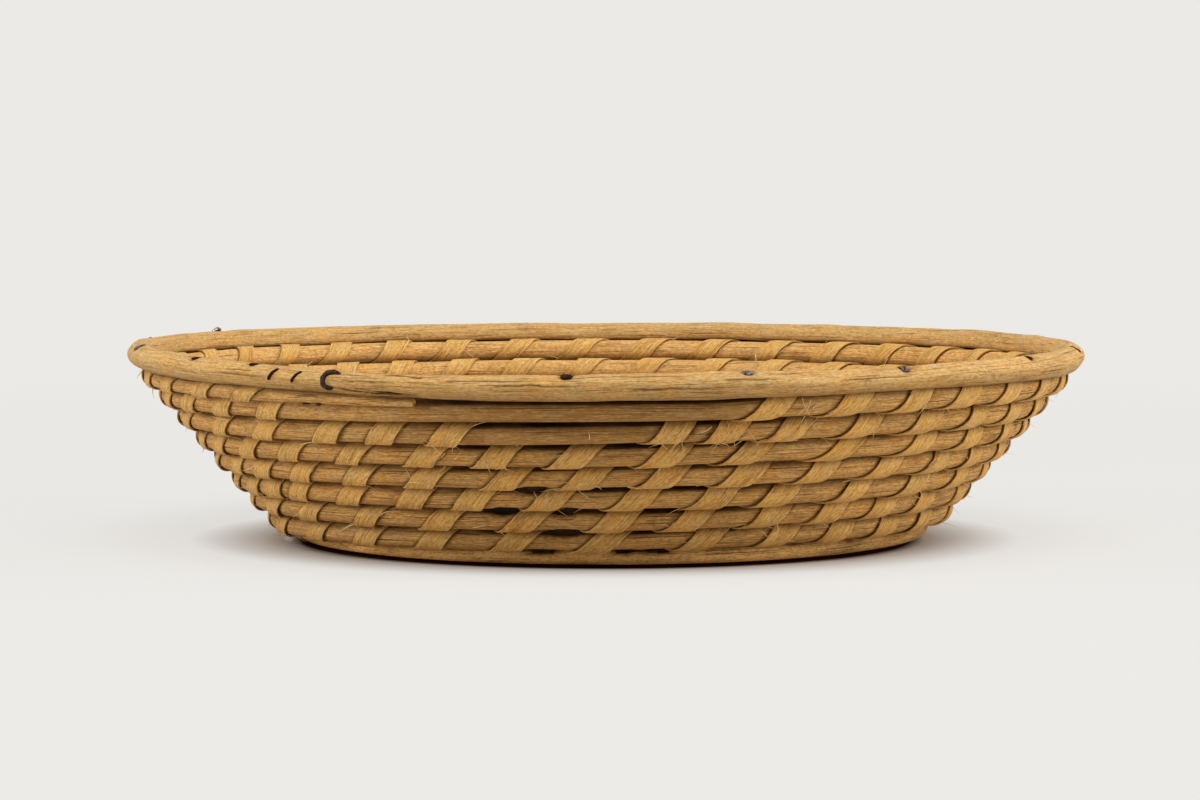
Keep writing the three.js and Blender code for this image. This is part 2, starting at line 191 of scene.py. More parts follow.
def swayed(value, sway, seed):  # such a line times the height of a sway, whose other number is its period
    return sway[0] * wander(value, sway[1], seed)


# How the rods differ from true ones. A pair is the height and the period of a sway.
unevenness = {
    "wobble": (0.2, 0.34),  # the middle line leaves its place, by millimetres over turns
    "thickness": (0.025, 0.21),  # share of the radius, over turns
    "flats": 0.014,  # share of the radius
    "flatSides": [(3, 0.5, 1.0), (5, 0.3, 0.7)],  # count of flats, the period of their twist, their share
    "flatTwist": 2.5,  # radians
    "wallRodGrowth": 1.03,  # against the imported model's six-sided rod
    "baseRodGrowth": 0.96,
    "baseRodBroad": 1.16,  # how much broader than high the base's rod is pressed
    "swell": (-0.02, 0.05),  # turns from the base's end, over which its rod passes into the wall's
    "gapDepth": 1.3,  # of the open places between two turns at the front
}
# Where the top turn lies off its line: the middle in turns, half the length, how much raised and thicker
topTurnShifts = [
    (7.10, 0.055, 0.55, 0.0),
    (7.885, 0.045, 0.5, 0.42),
]
# Open places under a turn at the front: the turn, how far right of the front, half its length
openPlaces = [
    (4, -17.5, 3.2),
    (3, -24.6, 2.6),
    (3, -9.8, 2.4),
    (2, -10.4, 4.4),
    (1, -15.5, 4.6),
    (1, 4.2, 3.6),
    (1, 12.4, 3.4),
    (8, -77.5, 2.2),
    (8, -73.5, 1.4),
]


# Middle of the rod at a turn, its radius and how broad it is. The last turn tapers as the rim comes down
# and leaves the stack for the valley between the turn below it and the rim, touching both.
def rodMiddle(turns):
    w = taperAt(turns)
    seed = seeds["rod"]
    onBase = 1 - smooth(*[coil["baseEnd"] + v for v in unevenness["swell"]], turns)
    below = mix(wallPitch - 2 * wallRadius, wallRise / hexFlat + coil["stripGap"], w)
    above = rimSpacing - wallRadius - rimRadius
    taken = wallRadius + rimRadius + below + above
    tail = (rimAbove(w) + coil["tailSwell"] * w**2 - taken) / 2
    a, b = wallRadius + tail + below, rimRadius + tail + above
    up = (a**2 - b**2 + rimAbove(w) ** 2) / (2 * rimAbove(w))
    out = np.sqrt(np.maximum(a**2 - up**2, 0)) * (w > 0)
    thin = coil["baseRodDiameter"] / 2 * unevenness["baseRodGrowth"]
    for place, half, raised, thicker in topTurnShifts:
        here = np.exp(-(((turns - place) / half) ** 4))
        up, tail = up + raised * here, tail + thicker * here
    radius = mix(tail * unevenness["wallRodGrowth"], thin, onBase)
    free = (1 - onBase) * (1 - w)
    up = up - wallPitch + free * swayed(turns, unevenness["wobble"], seed)
    out = out + free * swayed(turns, unevenness["wobble"], seed + 1)
    radius = radius * (1 + swayed(turns, unevenness["thickness"], seed + 2))
    return out, up, radius, mix(1, unevenness["baseRodBroad"], onBase)


# Share by which a rod's skin stands off a circle: slow three-sided and five-sided flats that turn along it.
def flatsAt(turns, around, seed):
    total = 0
    for i, (sides, period, share) in enumerate(unevenness["flatSides"]):
        twist = unevenness["flatTwist"] * wander(turns, period, seed + i)
        total = total + share * np.cos(sides * around + twist)
    return unevenness["flats"] * total


# How open the groove is at a turn, from 0 to 1: the one below it (side -1) or the one above it (side 1).
def openShare(turns, side):
    share = 0
    for turn, right, half in openPlaces:
        at = turn if side < 0 else turn - 1
        length = circleAt(at) * (turns - at) - right
        share = share + np.exp(-((length / half) ** 4))
    return np.minimum(share, 1)


# Share by which the rod is sunk at an open place, on the side that faces the other turn. The base lies flat,
# so its outermost turn keeps its shape.
def sunkAt(turns, around):
    share = 0
    for side in (-1, 1):
        share = share + openShare(turns, side) * np.clip(side * np.sin(around), 0, 1) ** 2
    return share * (turns > coil["baseEnd"])


# Sideways and along-the-wall places on a rod's skin, or at a height over it, from its middle.
def skinAt(turns, around, height=0.0):
    out, up, radius, broad = rodMiddle(turns)
    reach = radius * (1 + flatsAt(turns, around, seeds["rodFlats"])) + height
    reach = reach - unevenness["gapDepth"] * sunkAt(turns, around)
    return reach * np.cos(around), broad * reach * np.sin(around), out, up, radius


def onRod(turns, around, height):  # that place as a point
    sideways, along, out, up, _ = skinAt(turns, around, height)
    return coilPoint(turns, out + sideways, up + along)


# Dust and painted shade in the grooves between two turns, with a painted shadow line at their bottom. A pair
# gives the value in a wide groove and in a narrow one, or else the two ends of an easy change.
grooves = {
    "narrowFrom": (-0.6, -0.2),  # turns, over which the grooves get narrow where the wall begins
    "narrowTo": (0.35, 0.8),
    "dustSteep": (2.4, 7.0),  # how fast the dust and painted shade get thicker into the groove
    "dustStart": (1.5, 6.1),
    "dustEase": 1.2,
    "lineStart": (0.82, 0.95),  # how squarely a place faces the next turn where the painted shadow line begins
    "lineFull": 0.97,
    "lineShare": 0.1,  # the top part of the scale, which is for the painted shadow line
    "front": (0.80, 0.96),  # cosines of the angles from the front between which the line gets wide
    "frontStart": 0.13,  # how much sooner it begins and is full there
    "frontFull": 0.08,
    "openEase": 3.6,
    "openShade": (0.15, 0.45),
    "openLine": (0.25, 0.55),
}


# How far into the groove between two turns a place on a rod faces: from 0 to 0.9 for the dust and painted
# shade, and on to 1 for the painted shadow line at the bottom of the groove and in the open places. On a bare
# rod the line is wide at the front, where the strips hold two turns apart.
def grooveAt(turns, around, bare=0.0):
    radius, height, bend = profileAt(turns)
    front = bare * smooth(*grooves["front"], np.cos(fullTurn * turns)) * (turns > coil["baseEnd"])
    narrow = smooth(*grooves["narrowFrom"], turns) * (1 - smooth(*grooves["narrowTo"], turns))
    start = mix(*grooves["lineStart"], narrow) - grooves["frontStart"] * front
    full = grooves["lineFull"] - grooves["frontFull"] * front
    deep, line = 0, 0
    for step in (-1, 1):
        radius2, height2, _ = profileAt(turns + step)
        out = (radius2 - radius) * np.sin(bend) - (height2 - height) * np.cos(bend)
        up = (radius2 - radius) * np.cos(bend) + (height2 - height) * np.sin(bend)
        facing = (np.cos(around) * out + np.sin(around) * up) / np.hypot(out, up)
        within = facing * mix(*grooves["dustSteep"], narrow) - mix(*grooves["dustStart"], narrow)
        dust = np.clip(within, 0, 1) ** grooves["dustEase"]
        dark = smooth(start, full, facing)
        gap = openShare(turns, step) * np.clip(facing, 0, 1) ** grooves["openEase"]
        deep = np.max(np.broadcast_arrays(deep, dust, front * dark, smooth(*grooves["openShade"], gap)), 0)
        line = np.max(np.broadcast_arrays(line, dark, smooth(*grooves["openLine"], gap)), 0)
    return (1 - grooves["lineShare"]) * deep + grooves["lineShare"] * np.minimum(line, deep)


def newObject(name, data):
    item = bpy.data.objects.new(name, data)
    bpy.context.scene.collection.objects.link(item)
    return item


def newMesh(name, points, loops, sizes):
    mesh = bpy.data.meshes.new(name)
    mesh.vertices.add(len(points))
    mesh.vertices.foreach_set("co", (points * mm).astype(np.float32).ravel())
    mesh.loops.add(len(loops))
    mesh.loops.foreach_set("vertex_index", loops.astype(np.int32))
    mesh.polygons.add(len(sizes))
    mesh.polygons.foreach_set("loop_start", (np.cumsum(sizes) - sizes).astype(np.int32))
    mesh.polygons.foreach_set("loop_total", sizes.astype(np.int32))
    mesh.polygons.foreach_set("use_smooth", np.ones(len(sizes), bool))
    mesh.update(calc_edges=True)
    mesh.validate()
    return mesh


# A closed body through rings of points, which turn clockwise as seen from the last ring.
def ringBody(rings):
    count, around = rings.shape[:2]
    i, j = np.meshgrid(np.arange(count - 1), np.arange(around), indexing="ij")
    a, b = i * around + j, i * around + (j + 1) % around
    quads = np.stack([a, a + around, b + around, b], -1).reshape(-1)
    first, last = np.arange(around), (count - 1) * around + np.arange(around)[::-1]
    loops = np.concatenate([quads, first, last])
    sizes = np.concatenate([np.full((count - 1) * around, 4), [around, around]])
    return rings.reshape(-1, 3), loops, sizes


# One piece of the object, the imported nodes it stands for, and the values at its points that its finish reads:
# stitch and straight are places and the others are numbers. Edges sharper than so many degrees stay sharp.
def addPiece(name, body, material, slot, nodes, sharp, **values):
    mesh = newMesh(name, *body)
    for key, value in values.items():
        isPlace = key in ("stitch", "straight")
        kind, field = ("FLOAT_VECTOR", "vector") if isPlace else ("FLOAT", "value")
        flat = value.reshape(-1) * mm if isPlace else np.resize(value, len(body[0]))
        mesh.attributes.new(key, kind, "POINT").data.foreach_set(field, flat.astype(np.float32))
    mesh.set_sharp_from_angle(angle=math.radians(sharp))
    mesh.materials.append(material)
    piece = newObject(name, mesh)
    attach(piece, "root")
    if nodes:
        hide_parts(*nodes)


def unit(vectors):  # each divided by its length
    return vectors / np.linalg.norm(vectors, axis=-1, keepdims=True)


# A section's points beyond a cut are brought back to its level, on or inside the round section. The first
# number is the one that the cut limits.
def cutBack(beyond, wide, inside, side, level, radius):
    cut = inside & (side * (beyond - level) < 0)
    width = np.sqrt(np.maximum(radius**2 - level**2, 0))
    wide = np.where(cut, np.clip(wide, -width, width), wide)
    return np.where(cut, np.clip(level, -radius, radius), beyond), wide


def anglesRound(sides):  # equal steps of a full turn
    return fullTurn * np.arange(sides)[None, :] / sides


# Directions round a line, from the two that are square to it, in the order that a ring's points take.
def spokes(sides, side, over):
    spin = -fullTurn * np.arange(sides)[:, None] / sides
    return np.cos(spin) * side[:, None] + np.sin(spin) * over[:, None]


# Cane finishes: the colours, the reach of the fibres and the cracks along and across in millimetres, and how
# much of the noise the flecks and the cracks leave out. The dust colour serves the cracks and dust and also the
# painted shade in the grooves, beside the strips and on the darker lengths; on the rods two more colours paint
# light on the paler lengths.
finishes = {
    "rod": {
        "light": (0.87, 0.535, 0.19),
        "dark": (0.42, 0.21, 0.055),
        "stain": (0.33, 0.15, 0.035),
        "warm": (0.76, 0.35, 0.07),
        "weathered": (0.47, 0.32, 0.15),
        "sheen": (0.95, 0.68, 0.36),
        "dust": (0.062, 0.019, 0.003),
        "fibres": (16.0, 0.26),
        "fleckShare": 0.60,
        "litColour": (0.98, 0.66, 0.27),
        "litGain": (1.6, 1.5, 1.35),
        "edgeLine": 1.3,  # width of the painted shadow and dirt beside a strip
        "cracks": (26.0, 0.22),
        "crackShare": 0.645,
        "crackDepth": 0.7,
        "roughness": 0.62,
        "bump": 0.10,
    },
    "strip": {
        "light": (0.97, 0.63, 0.205),
        "dark": (0.54, 0.28, 0.068),
        "stain": (0.44, 0.19, 0.04),
        "warm": (0.87, 0.42, 0.08),
        "weathered": (0.62, 0.44, 0.20),
        "sheen": (1.0, 0.76, 0.40),
        "dust": (0.072, 0.022, 0.004),
        "fibres": (9.0, 0.17),
        "fleckShare": 0.68,
        "cracks": (14.0, 0.16),
        "crackShare": 0.66,
        "crackDepth": 0.6,
        "roughness": 0.5,
        "bump": 0.08,
    },
    "rim": {
        "light": (0.80, 0.535, 0.22),
        "dark": (0.50, 0.285, 0.085),
        "stain": (0.42, 0.19, 0.04),
        "warm": (0.87, 0.45, 0.11),
        "weathered": (0.66, 0.47, 0.23),
        "sheen": (1.0, 0.78, 0.44),
        "dust": (0.11, 0.038, 0.007),
        "fibres": (14.0, 0.3),
        "fleckShare": 0.62,
        "cracks": (24.0, 0.24),
        "crackShare": 0.66,
        "crackDepth": 0.65,
        "roughness": 0.48,
        "bump": 0.14,
    },
    "hair": {
        "light": (1.0, 0.82, 0.46),
        "dark": (0.95, 0.68, 0.32),
        "stain": (0.6, 0.32, 0.1),
        "warm": (0.95, 0.62, 0.25),
        "weathered": (0.90, 0.68, 0.36),
        "sheen": (1.0, 0.88, 0.60),
        "dust": (0.3, 0.13, 0.03),
        "fibres": (4.0, 1.0),
        "fleckShare": 0.7,
        "cracks": (5.0, 1.0),
        "crackShare": 0.8,
        "crackDepth": 0.3,
        "roughness": 0.6,
        "bump": 0.01,
    },
}
# Patches on every cane finish, in the order in which they are laid on: the name and its colour, how far they
# reach along and across the fibres in millimetres and how far the noise is shifted, the noise's detail and
# roughness, the two values of the noise between which they come in, and their share at either value
patches = [
    ("paler lengths", "light", (45.0, 9.0, 3.7), (2.0, 0.5), (0.4, 0.7), (0.0, 0.4)),
    ("warmth", "warm", (7.0, 4.0, 6.1), (3.0, 0.5), (0.48, 0.68), (0.0, 0.45)),
    ("greyed", "weathered", (5.0, 2.2, 8.3), (4.0, 0.6), (0.46, 0.66), (0.0, 0.5)),
    ("specks", "stain", (1.1, 0.5, 1.9), (3.0, 0.7), (0.34, 0.56), (0.65, 0.0)),
    ("glints", "sheen", (2.4, 0.3, 4.9), (2.0, 0.5), (0.56, 0.70), (0.0, 0.35)),
    ("stains", "stain", (11.0, 3.0, 9.1), (5.0, 0.65), (0.55, 0.75), (0.0, 0.6)),
]
# What else the cane finishes share
cane = {
    "fibres": (0.34, 0.62),  # values of the fibres' noise that are fully dark and fully light
    "fibreGrain": (4.0, 0.6),
    "pores": (3.2, 0.16, 5.3),  # their reach and shift
    "poreGrain": (2.0, 0.5),
    "poreEdge": 0.08,
    "poreShare": 0.65,
    "poreDepth": 0.4,
    "crackShift": 2.3,
    "crackGrain": (1.0, 0.5),
    "crackEdge": 0.05,
    "crackSink": 0.9,
    "dustAndShadeShare": ((0.3, 0.7), (0.55, 0.95)),  # the share of dust and painted shade in a groove follows the stains' noise
    "line": ((0.35, 0.6), (1.0, 0.75)),  # the painted shadow line follows the warm patches' noise
    "edge": ((0.35, 0.6), (0.95, 0.45)),  # the painted shadow and dirt beside a strip follows the stains' noise
    "smoothing": 0.14,  # how much rougher the dark fibres are
    "smoothest": (0.3, 0.7),
    "grooveShadow": (0.010, 0.003, 0.001),  # painted shade inside an open place and in the shadow line at a groove's bottom
    "shine": 0.05,
}


def newMaterial(name):
    material = bpy.data.materials.new(name)
    material.use_nodes = True
    tree = material.node_tree
    tree.nodes.clear()
    return material, tree


# A node with its inputs: a socket is linked and anything else is set as its value.
def addNode(tree, kind, inputs, **settings):
    node = tree.nodes.new("ShaderNode" + kind)
    for key, value in settings.items():
        setattr(node, key, value)
    for key, value in inputs.items():
        setInput(tree, node.inputs[key], value)
    return node


def setInput(tree, socket, value):
    if isinstance(value, bpy.types.NodeSocket):
        tree.links.new(value, socket)
    else:
        socket.default_value = value


def colour(values):
    return (*values, 1.0)


def blendColour(tree, share, a, b, mode="MIX"):  # from a to b, colours or sockets
    node = addNode(tree, "Mix", {}, data_type="RGBA", blend_type=mode)
    for key, value in (("Factor", share), ("A", a), ("B", b)):
        socket = [s for s in node.inputs if s.name == key and s.enabled][0]
        setInput(tree, socket, colour(value) if isinstance(value, tuple) else value)
    return [s for s in node.outputs if s.enabled][0]


def attribute(tree, name, output="Fac"):
    return addNode(tree, "Attribute", {}, attribute_name=name).outputs[output]


# Noise with a grain of a detail and a roughness.
def clouds(tree, place, scale, grain):
    inputs = {"Vector": place, "Scale": scale, "Detail": grain[0], "Roughness": grain[1]}
    return addNode(tree, "TexNoise", inputs).outputs["Fac"]


# Noise whose patches reach some millimetres along and across the fibres.
def noise(tree, reach, grain):
    along, across, shift = reach
    scale = (1 / (along * mm), 1 / (across * mm), 1 / (across * mm))
    place = attribute(tree, "straight", "Vector")
    place = addNode(tree, "Mapping", {"Vector": place, "Scale": scale, "Location": (shift,) * 3}).outputs[0]
    return clouds(tree, place, 1.0, grain)


def maths(tree, operation, a, b=0.0):
    return addNode(tree, "Math", {0: a, 1: b}, operation=operation).outputs[0]


def times(tree, a, b):
    return maths(tree, "MULTIPLY", a, b)


def remap(tree, value, reach, to=(0.0, 1.0)):  # in proportion, and no further than either end
    inputs = {"Value": value, "From Min": reach[0], "From Max": reach[1], "To Min": to[0], "To Max": to[1]}
    return addNode(tree, "MapRange", inputs, clamp=True).outputs["Result"]


def lengthOf(tree, vector):
    return addNode(tree, "VectorMath", {0: vector}, operation="LENGTH").outputs["Value"]


# The end of every finish of the object: bumps from a height, and the shader with its other inputs.
def addSurface(tree, height, bump, inputs):
    inputs["Normal"] = addNode(tree, "Bump", {"Height": height, "Distance": bump * mm}).outputs["Normal"]
    shader = addNode(tree, "BsdfPrincipled", inputs)
    addNode(tree, "OutputMaterial", {"Surface": shader.outputs["BSDF"]})


# Painted shadow and dirt on a rod beside the edges of the strip wound on it, from the stitch attribute.
def edgeShadowAndDirt(tree, finish, breaks):
    part = addNode(tree, "SeparateXYZ", {0: attribute(tree, "stitch", "Vector")}).outputs
    angle = maths(tree, "ABSOLUTE", maths(tree, "ARCTAN2", part[1], part[0]))
    perRadian = lengthOf(tree, addNode(tree, "CombineXYZ", {0: part[0], 1: part[1]}).outputs[0])
    fromEdge = maths(tree, "SUBTRACT", times(tree, angle, perRadian), part[2])
    near = remap(tree, fromEdge, (0.0, finish["edgeLine"] * mm), (1.0, 0.0))
    return times(tree, near, remap(tree, breaks, *cane["edge"]))


# First the fibres, then the patches, the pores and cracks, and last the dust and painted shade in the grooves.
# Only the rods have lengths of painted shade and painted light, and painted shadow and dirt beside the strips.
def caneMaterial(name):
    finish = finishes[name]
    onRods = "edgeLine" in finish
    material, tree = newMaterial("cane_" + name)
    fibres = noise(tree, (*finish["fibres"], 0.0), cane["fibreGrain"])
    ramp = addNode(tree, "ValToRGB", {"Fac": fibres})
    for stop, place, key in zip(ramp.color_ramp.elements, cane["fibres"], ("dark", "light")):
        stop.position = place
        stop.color = colour(finish[key])
    body = ramp.outputs["Color"]
    if onRods:
        lightAndShade = attribute(tree, "lightAndShade")
        paintedLight = times(tree, lightAndShade, -1.0)
    found = {}
    for patch, tint, reach, grain, between, share in patches:
        found[patch] = noise(tree, reach, grain)
        mode = "MULTIPLY" if patch == "stains" else "MIX"
        body = blendColour(tree, remap(tree, found[patch], between, share), body, finish[tint], mode)
        # painted shade on the darker lengths of rod, and painted light on the paler ones
        if patch == "warmth" and onRods:
            body = blendColour(tree, lightAndShade, body, finish["dust"])
            body = blendColour(tree, paintedLight, body, finish["litColour"])
    # short dark pores along the fibres
    between = (finish["fleckShare"], finish["fleckShare"] + cane["poreEdge"])
    pore = remap(tree, noise(tree, cane["pores"], cane["poreGrain"]), between)
    body = blendColour(tree, times(tree, pore, cane["poreShare"]), body, finish["stain"])
    # long fine cracks
    lines = noise(tree, (*finish["cracks"], cane["crackShift"]), cane["crackGrain"])
    crack = remap(tree, lines, (finish["crackShare"], finish["crackShare"] + cane["crackEdge"]))
    body = blendColour(tree, times(tree, crack, finish["crackDepth"]), body, finish["dust"])
    # painted light: the paler lengths are brightened further
    if onRods:
        body = blendColour(tree, paintedLight, body, finish["litGain"], "MULTIPLY")
    # dust and painted shade in the grooves, then the painted shadow line at their bottom and in the open places
    groove = attribute(tree, "groove")
    dustAndShadeShare = times(tree, groove, remap(tree, found["stains"], *cane["dustAndShadeShare"]))
    body = blendColour(tree, dustAndShadeShare, body, finish["dust"])
    line = remap(tree, groove, (1 - grooves["lineShare"], 1.0))
    line = times(tree, line, remap(tree, found["warmth"], *cane["line"]))
    body = blendColour(tree, line, body, cane["grooveShadow"])
    # painted shadow and dirt beside the strips' edges
    if onRods:
        body = blendColour(tree, edgeShadowAndDirt(tree, finish, found["stains"]), body, finish["dust"])
    sunk = maths(tree, "ADD", times(tree, pore, cane["poreDepth"]), times(tree, crack, cane["crackSink"]))
    roughness = (finish["roughness"] + cane["smoothing"], finish["roughness"])
    rough = remap(tree, fibres, cane["smoothest"], roughness)
    inputs = {"Base Color": body, "Roughness": rough, "Specular IOR Level": cane["shine"]}
    addSurface(tree, maths(tree, "SUBTRACT", fibres, sunk), finish["bump"], inputs)
    return material


# Old steel: nearly black with rust, and where a piece is polished, bare patches
steelFinish = {
    "bare": (0.44, 0.41, 0.38),
    "dull": (0.045, 0.020, 0.012),
    "rust": (0.022, 0.008, 0.004),
    "patch": 1.0,  # size of the patches
    "grain": (4.0, 0.6),
    "baring": (0.44, 0.56),  # values of the patches' noise between which the steel gets bare, and rusty
    "rusting": (0.4, 0.6),
    "metal": (0.0, 0.95),
    "roughness": (0.7, 0.3),
    "shine": 0.02,
    "bump": 0.1,
    "sharp": 40,
}


def steelMaterial():
    finish = steelFinish
    material, tree = newMaterial("old_steel")
    place = addNode(tree, "TexCoord", {}).outputs["Object"]
    patch = clouds(tree, place, 1 / (finish["patch"] * mm), finish["grain"])
    bright = times(tree, remap(tree, patch, finish["baring"]), attribute(tree, "polish"))
    body = blendColour(tree, remap(tree, patch, finish["rusting"]), finish["dull"], finish["rust"])
    inputs = {
        "Base Color": blendColour(tree, bright, body, finish["bare"]),
        "Metallic": remap(tree, bright, (0.0, 1.0), finish["metal"]),
        "Roughness": remap(tree, bright, (0.0, 1.0), finish["roughness"]),
        "Specular IOR Level": finish["shine"],
    }
    addSurface(tree, patch, finish["bump"], inputs)
    return material


rodCane, stripCane, rimCane, hairCane = (caneMaterial(name) for name in ("rod", "strip", "rim", "hair"))
steel = steelMaterial()
print("materials made")

# Strips of the binding. Each wandering value goes with the period of its wander in stitches.
strips = {
    "width": 7.5,  # along the rod
    "baseWidth": 6.0,
    "coreWidth": 5.2,
    "thickness": 0.55,
    "edgeThickness": 0.36,
    "baseThickness": 0.42,
    "endThickness": 0.4,  # share that is left at the two ends
    "seat": 0.04,
    "lift": 0.3,  # how far the edges stand off the rod on its outer and inner sides
    "baseLift": 0.1,
    "heldLift": 0.25,  # share of it that is left between two turns
    "skew": (0.5, 1.7),  # how much more one edge stands off than the other
    "pitch": 19.5,  # along the rod, from one stitch to the next
    "pitchSpread": 1.1,
    "spokeSpread": 0.12,  # on the base, in stitches
    "spokes": (10, 20),  # stitches to a turn of the base, in its middle and outside
    "curveEnd": 2.001,  # stitches by which the curve through them falls short of their count
    "curveSteps": 4000,
    "stepsPerStitch": 40,
    "pointsAcross": 7,
    "endTaper": 0.35,  # stitches
    "ragged": (0.035, 0.3),  # share of the width by which the edges wander
    "raggedShift": 0.2,  # of that wandering from the middle to an edge, in stitches
    "widening": (0.06, 2.3),  # share by which the width wanders
    "breaks": 0.03,  # turns, between the end of one strip and the start of the next
    "underside": 0.35,  # how much darker the face towards the rod is, as in the grooves
    "fibreShare": 0.38,  # width of the fibres' pattern against the strip's
    "fibreShift": 7.0,  # of that pattern from one strip to the next
    "sharp": 60,
}
# Places of stitches on each turn, right of the front
stitchPlaces = {
    1: [-127.9, -106.0, -84.0, -43.8, -23.1, -2.4, 21.2, 40.9, 91.7, 118.2],
    2: [-127.0, -103.7, -84.4, -41.3, -20.6, 0.6, 18.2, 37.9, 88.0, 110.4],
    3: [-128.5, -111.3, -98.3, -86.3, -48.4, -32.9, -14.5, 5.3, 24.0, 39.7, 81.2, 102.1, 125.4],
    4: [-137.4, -115.8, -99.8, -83.1, -45.3, -24.8, -6.2, 11.9, 30.6, 88.3, 105.2, 125.1],
    5: [-154.1, -121.7, -103.7, -85.9, -44.9, -27.3, -9.1, 12.1, 31.1, 79.2, 99.4, 119.2],
    6: [-142.2, -115.2, -94.1, -71.8, -55.7, -38.9, 13.2, 26.2, 41.3, 98.4, 117.2, 136.6],
    7: [-148.2, -128.9, -90.5, 35.9, 55.9, 74.3, 91.4, 110.0, 148.9],
    8: [-139.2, -117.6, -98.7],
}


# Turns of the stitches from one end of a strip to the other: the given ones, then others between and beyond
# them at the usual pitch.
def stitchTurns(start, end, given, seed):
    draw = np.random.default_rng(seed)
    places = [given[0]]
    for place in given[1:]:
        count = max(1, round((place - places[-1]) / (strips["pitch"] / circleAt(place))))
        places += list(np.linspace(places[-1], place, count + 1)[1:])
    while places[0] > start:
        step = strips["pitch"] + strips["pitchSpread"] * draw.uniform(-1, 1)
        places.insert(0, places[0] - step / circleAt(places[0]))
    while places[-1] < end:
        step = strips["pitch"] + strips["pitchSpread"] * draw.uniform(-1, 1)
        places.append(places[-1] + step / circleAt(places[-1]))
    places.insert(0, 2 * places[0] - places[1])
    places.append(2 * places[-1] - places[-2])
    return np.array(places)


# Turn along the coil at a count of stitches: a Catmull-Rom curve through the stitches' places.
def strandTurns(places, number):
    i = np.clip(np.floor(number).astype(int), 1, len(places) - 3)
    u = number - i
    p0, p1, p2, p3 = places[i - 1], places[i], places[i + 1], places[i + 2]
    return p1 + 0.5 * u * (p2 - p0 + u * (2 * p0 - 5 * p1 + 4 * p2 - p3 + u * (3 * (p1 - p2) + p3 - p0)))


# A strip before it is wound: where it starts and ends, and its count of stitches at each turn.
def newStrand(part, place, start, end, given, seed, width, lift, thickness):
    strand = {"name": f"{part}_strip_{place}", "node": f"{part}_binding_{place}", "start": start, "end": end}
    strand |= {"seed": seed, "width": width, "lift": lift, "thickness": thickness}
    strand["places"] = stitchTurns(start, end, given, seed)
    curveEnd = len(strand["places"]) - strips["curveEnd"]
    strand["numbers"] = np.linspace(1, curveEnd, strips["curveSteps"])
    strand["turns"] = strandTurns(strand["places"], strand["numbers"])
    strand["first"], strand["last"] = np.interp([start, end], strand["turns"], strand["numbers"])
    return strand


# A strip of the wall, through the stitches' places between its two ends.
def wallStrand(number, start, end):
    given = [turn + place / circleAt(turn) for turn, places in stitchPlaces.items() for place in places]
    given = [turn for turn in given if start < turn < end]
    looks = (strips["width"], strips["lift"], strips["thickness"])
    return newStrand("wall", number, start, end, given, seeds["wallStrips"] + number, *looks)


# A strip of the base: its stitches line up in spokes, twice as many outside as in the middle.
def baseStrand(place, start, end, perTurn, seed, width):
    draw = np.random.default_rng(seed)
    count = int(round((end - start) * perTurn))
    given = start + (np.arange(count) + 0.5 + strips["spokeSpread"] * draw.uniform(-1, 1, count)) / perTurn
    looks = (width, strips["baseLift"], strips["baseThickness"])
    return newStrand("base", place, start, end, list(given), seed, *looks)


baseLapEnd = coil["baseEnd"] + coil["spliceTurns"]
wallLapEnd = coil["wallSplice"] + coil["spliceTurns"]
halfBreak = strips["breaks"] / 2
fewSpokes, manySpokes = strips["spokes"]
baseSeed = seeds["baseStrips"]
strands = [
    baseStrand("inner", coreStart + 0.7, coreStart + 5.9, fewSpokes, baseSeed, strips["coreWidth"]),
    baseStrand("middle", coreStart + 6.0, coreStart + 8.3, manySpokes, baseSeed + 1, strips["baseWidth"]),
    baseStrand("outer", coreStart + 8.4, -0.2, manySpokes, baseSeed + 2, strips["baseWidth"]),
    wallStrand(1, baseLapEnd + 0.02, 1.5 - halfBreak),
    *[wallStrand(i, i - 0.5 + halfBreak, i + 0.5 - halfBreak) for i in (2, 3, 4, 5)],
    wallStrand(6, 5.5 + halfBreak, 5.961),
    wallStrand(7, 6.011, 6.888),
    wallStrand(8, 7.038, 7.88),
]

# Rods of the coil
rods = {
    "sides": 36,
    "stepLength": 1.1,
    "baseStepLength": 1.35,
    "lapTip": 0.3,
    "lapGap": 0.3,
    "cutReach": 1e-6,  # turns, by which a cut goes beyond its lap
    "coreTaper": 0.5,  # turns, over which the inner end of the base thins out
    "coreTip": 0.62,  # share of the radius left at the inner end
    "inside": (-0.1, 0.5),  # minus the cosines of the angles round the rod at which its inner side begins
    # painted light on the inner side of the wall
    "insideLight": 0.2,
    "innerEdge": 1.2,  # how much narrower the painted shadow and dirt beside a strip is on the inside of the basket
    "bareFade": 4.0,  # how fast the edge line of a strip goes beyond its end, in millimetres per millimetre
    "noStrip": 1000.0,  # stands for no strip near a place
    "toneEdge": 0.03,  # turns, over which a darker or paler length begins, and the same at its end
    "dustedFrom": 0.1,  # turns past the base's end, over which the painted light on the inner side begins
    "sharp": 50,
}
# Lengths of rod painted darker or paler than the rest: from one turn to another, and by how much. The darker
# ones are painted shade of the rim over the top turns at the front, and the paler one is painted light on the
# base's outer turn at the front. On the base only the outer side is. The inner side of the wall is painted
# paler all the way, as painted light.
litAndShadedLengths = [
    (-0.16, 0.10, -0.8),
    (5.925, 6.035, 0.36),
    (6.935, 7.055, 0.46),
    (4.96, 5.03, 0.15),
]


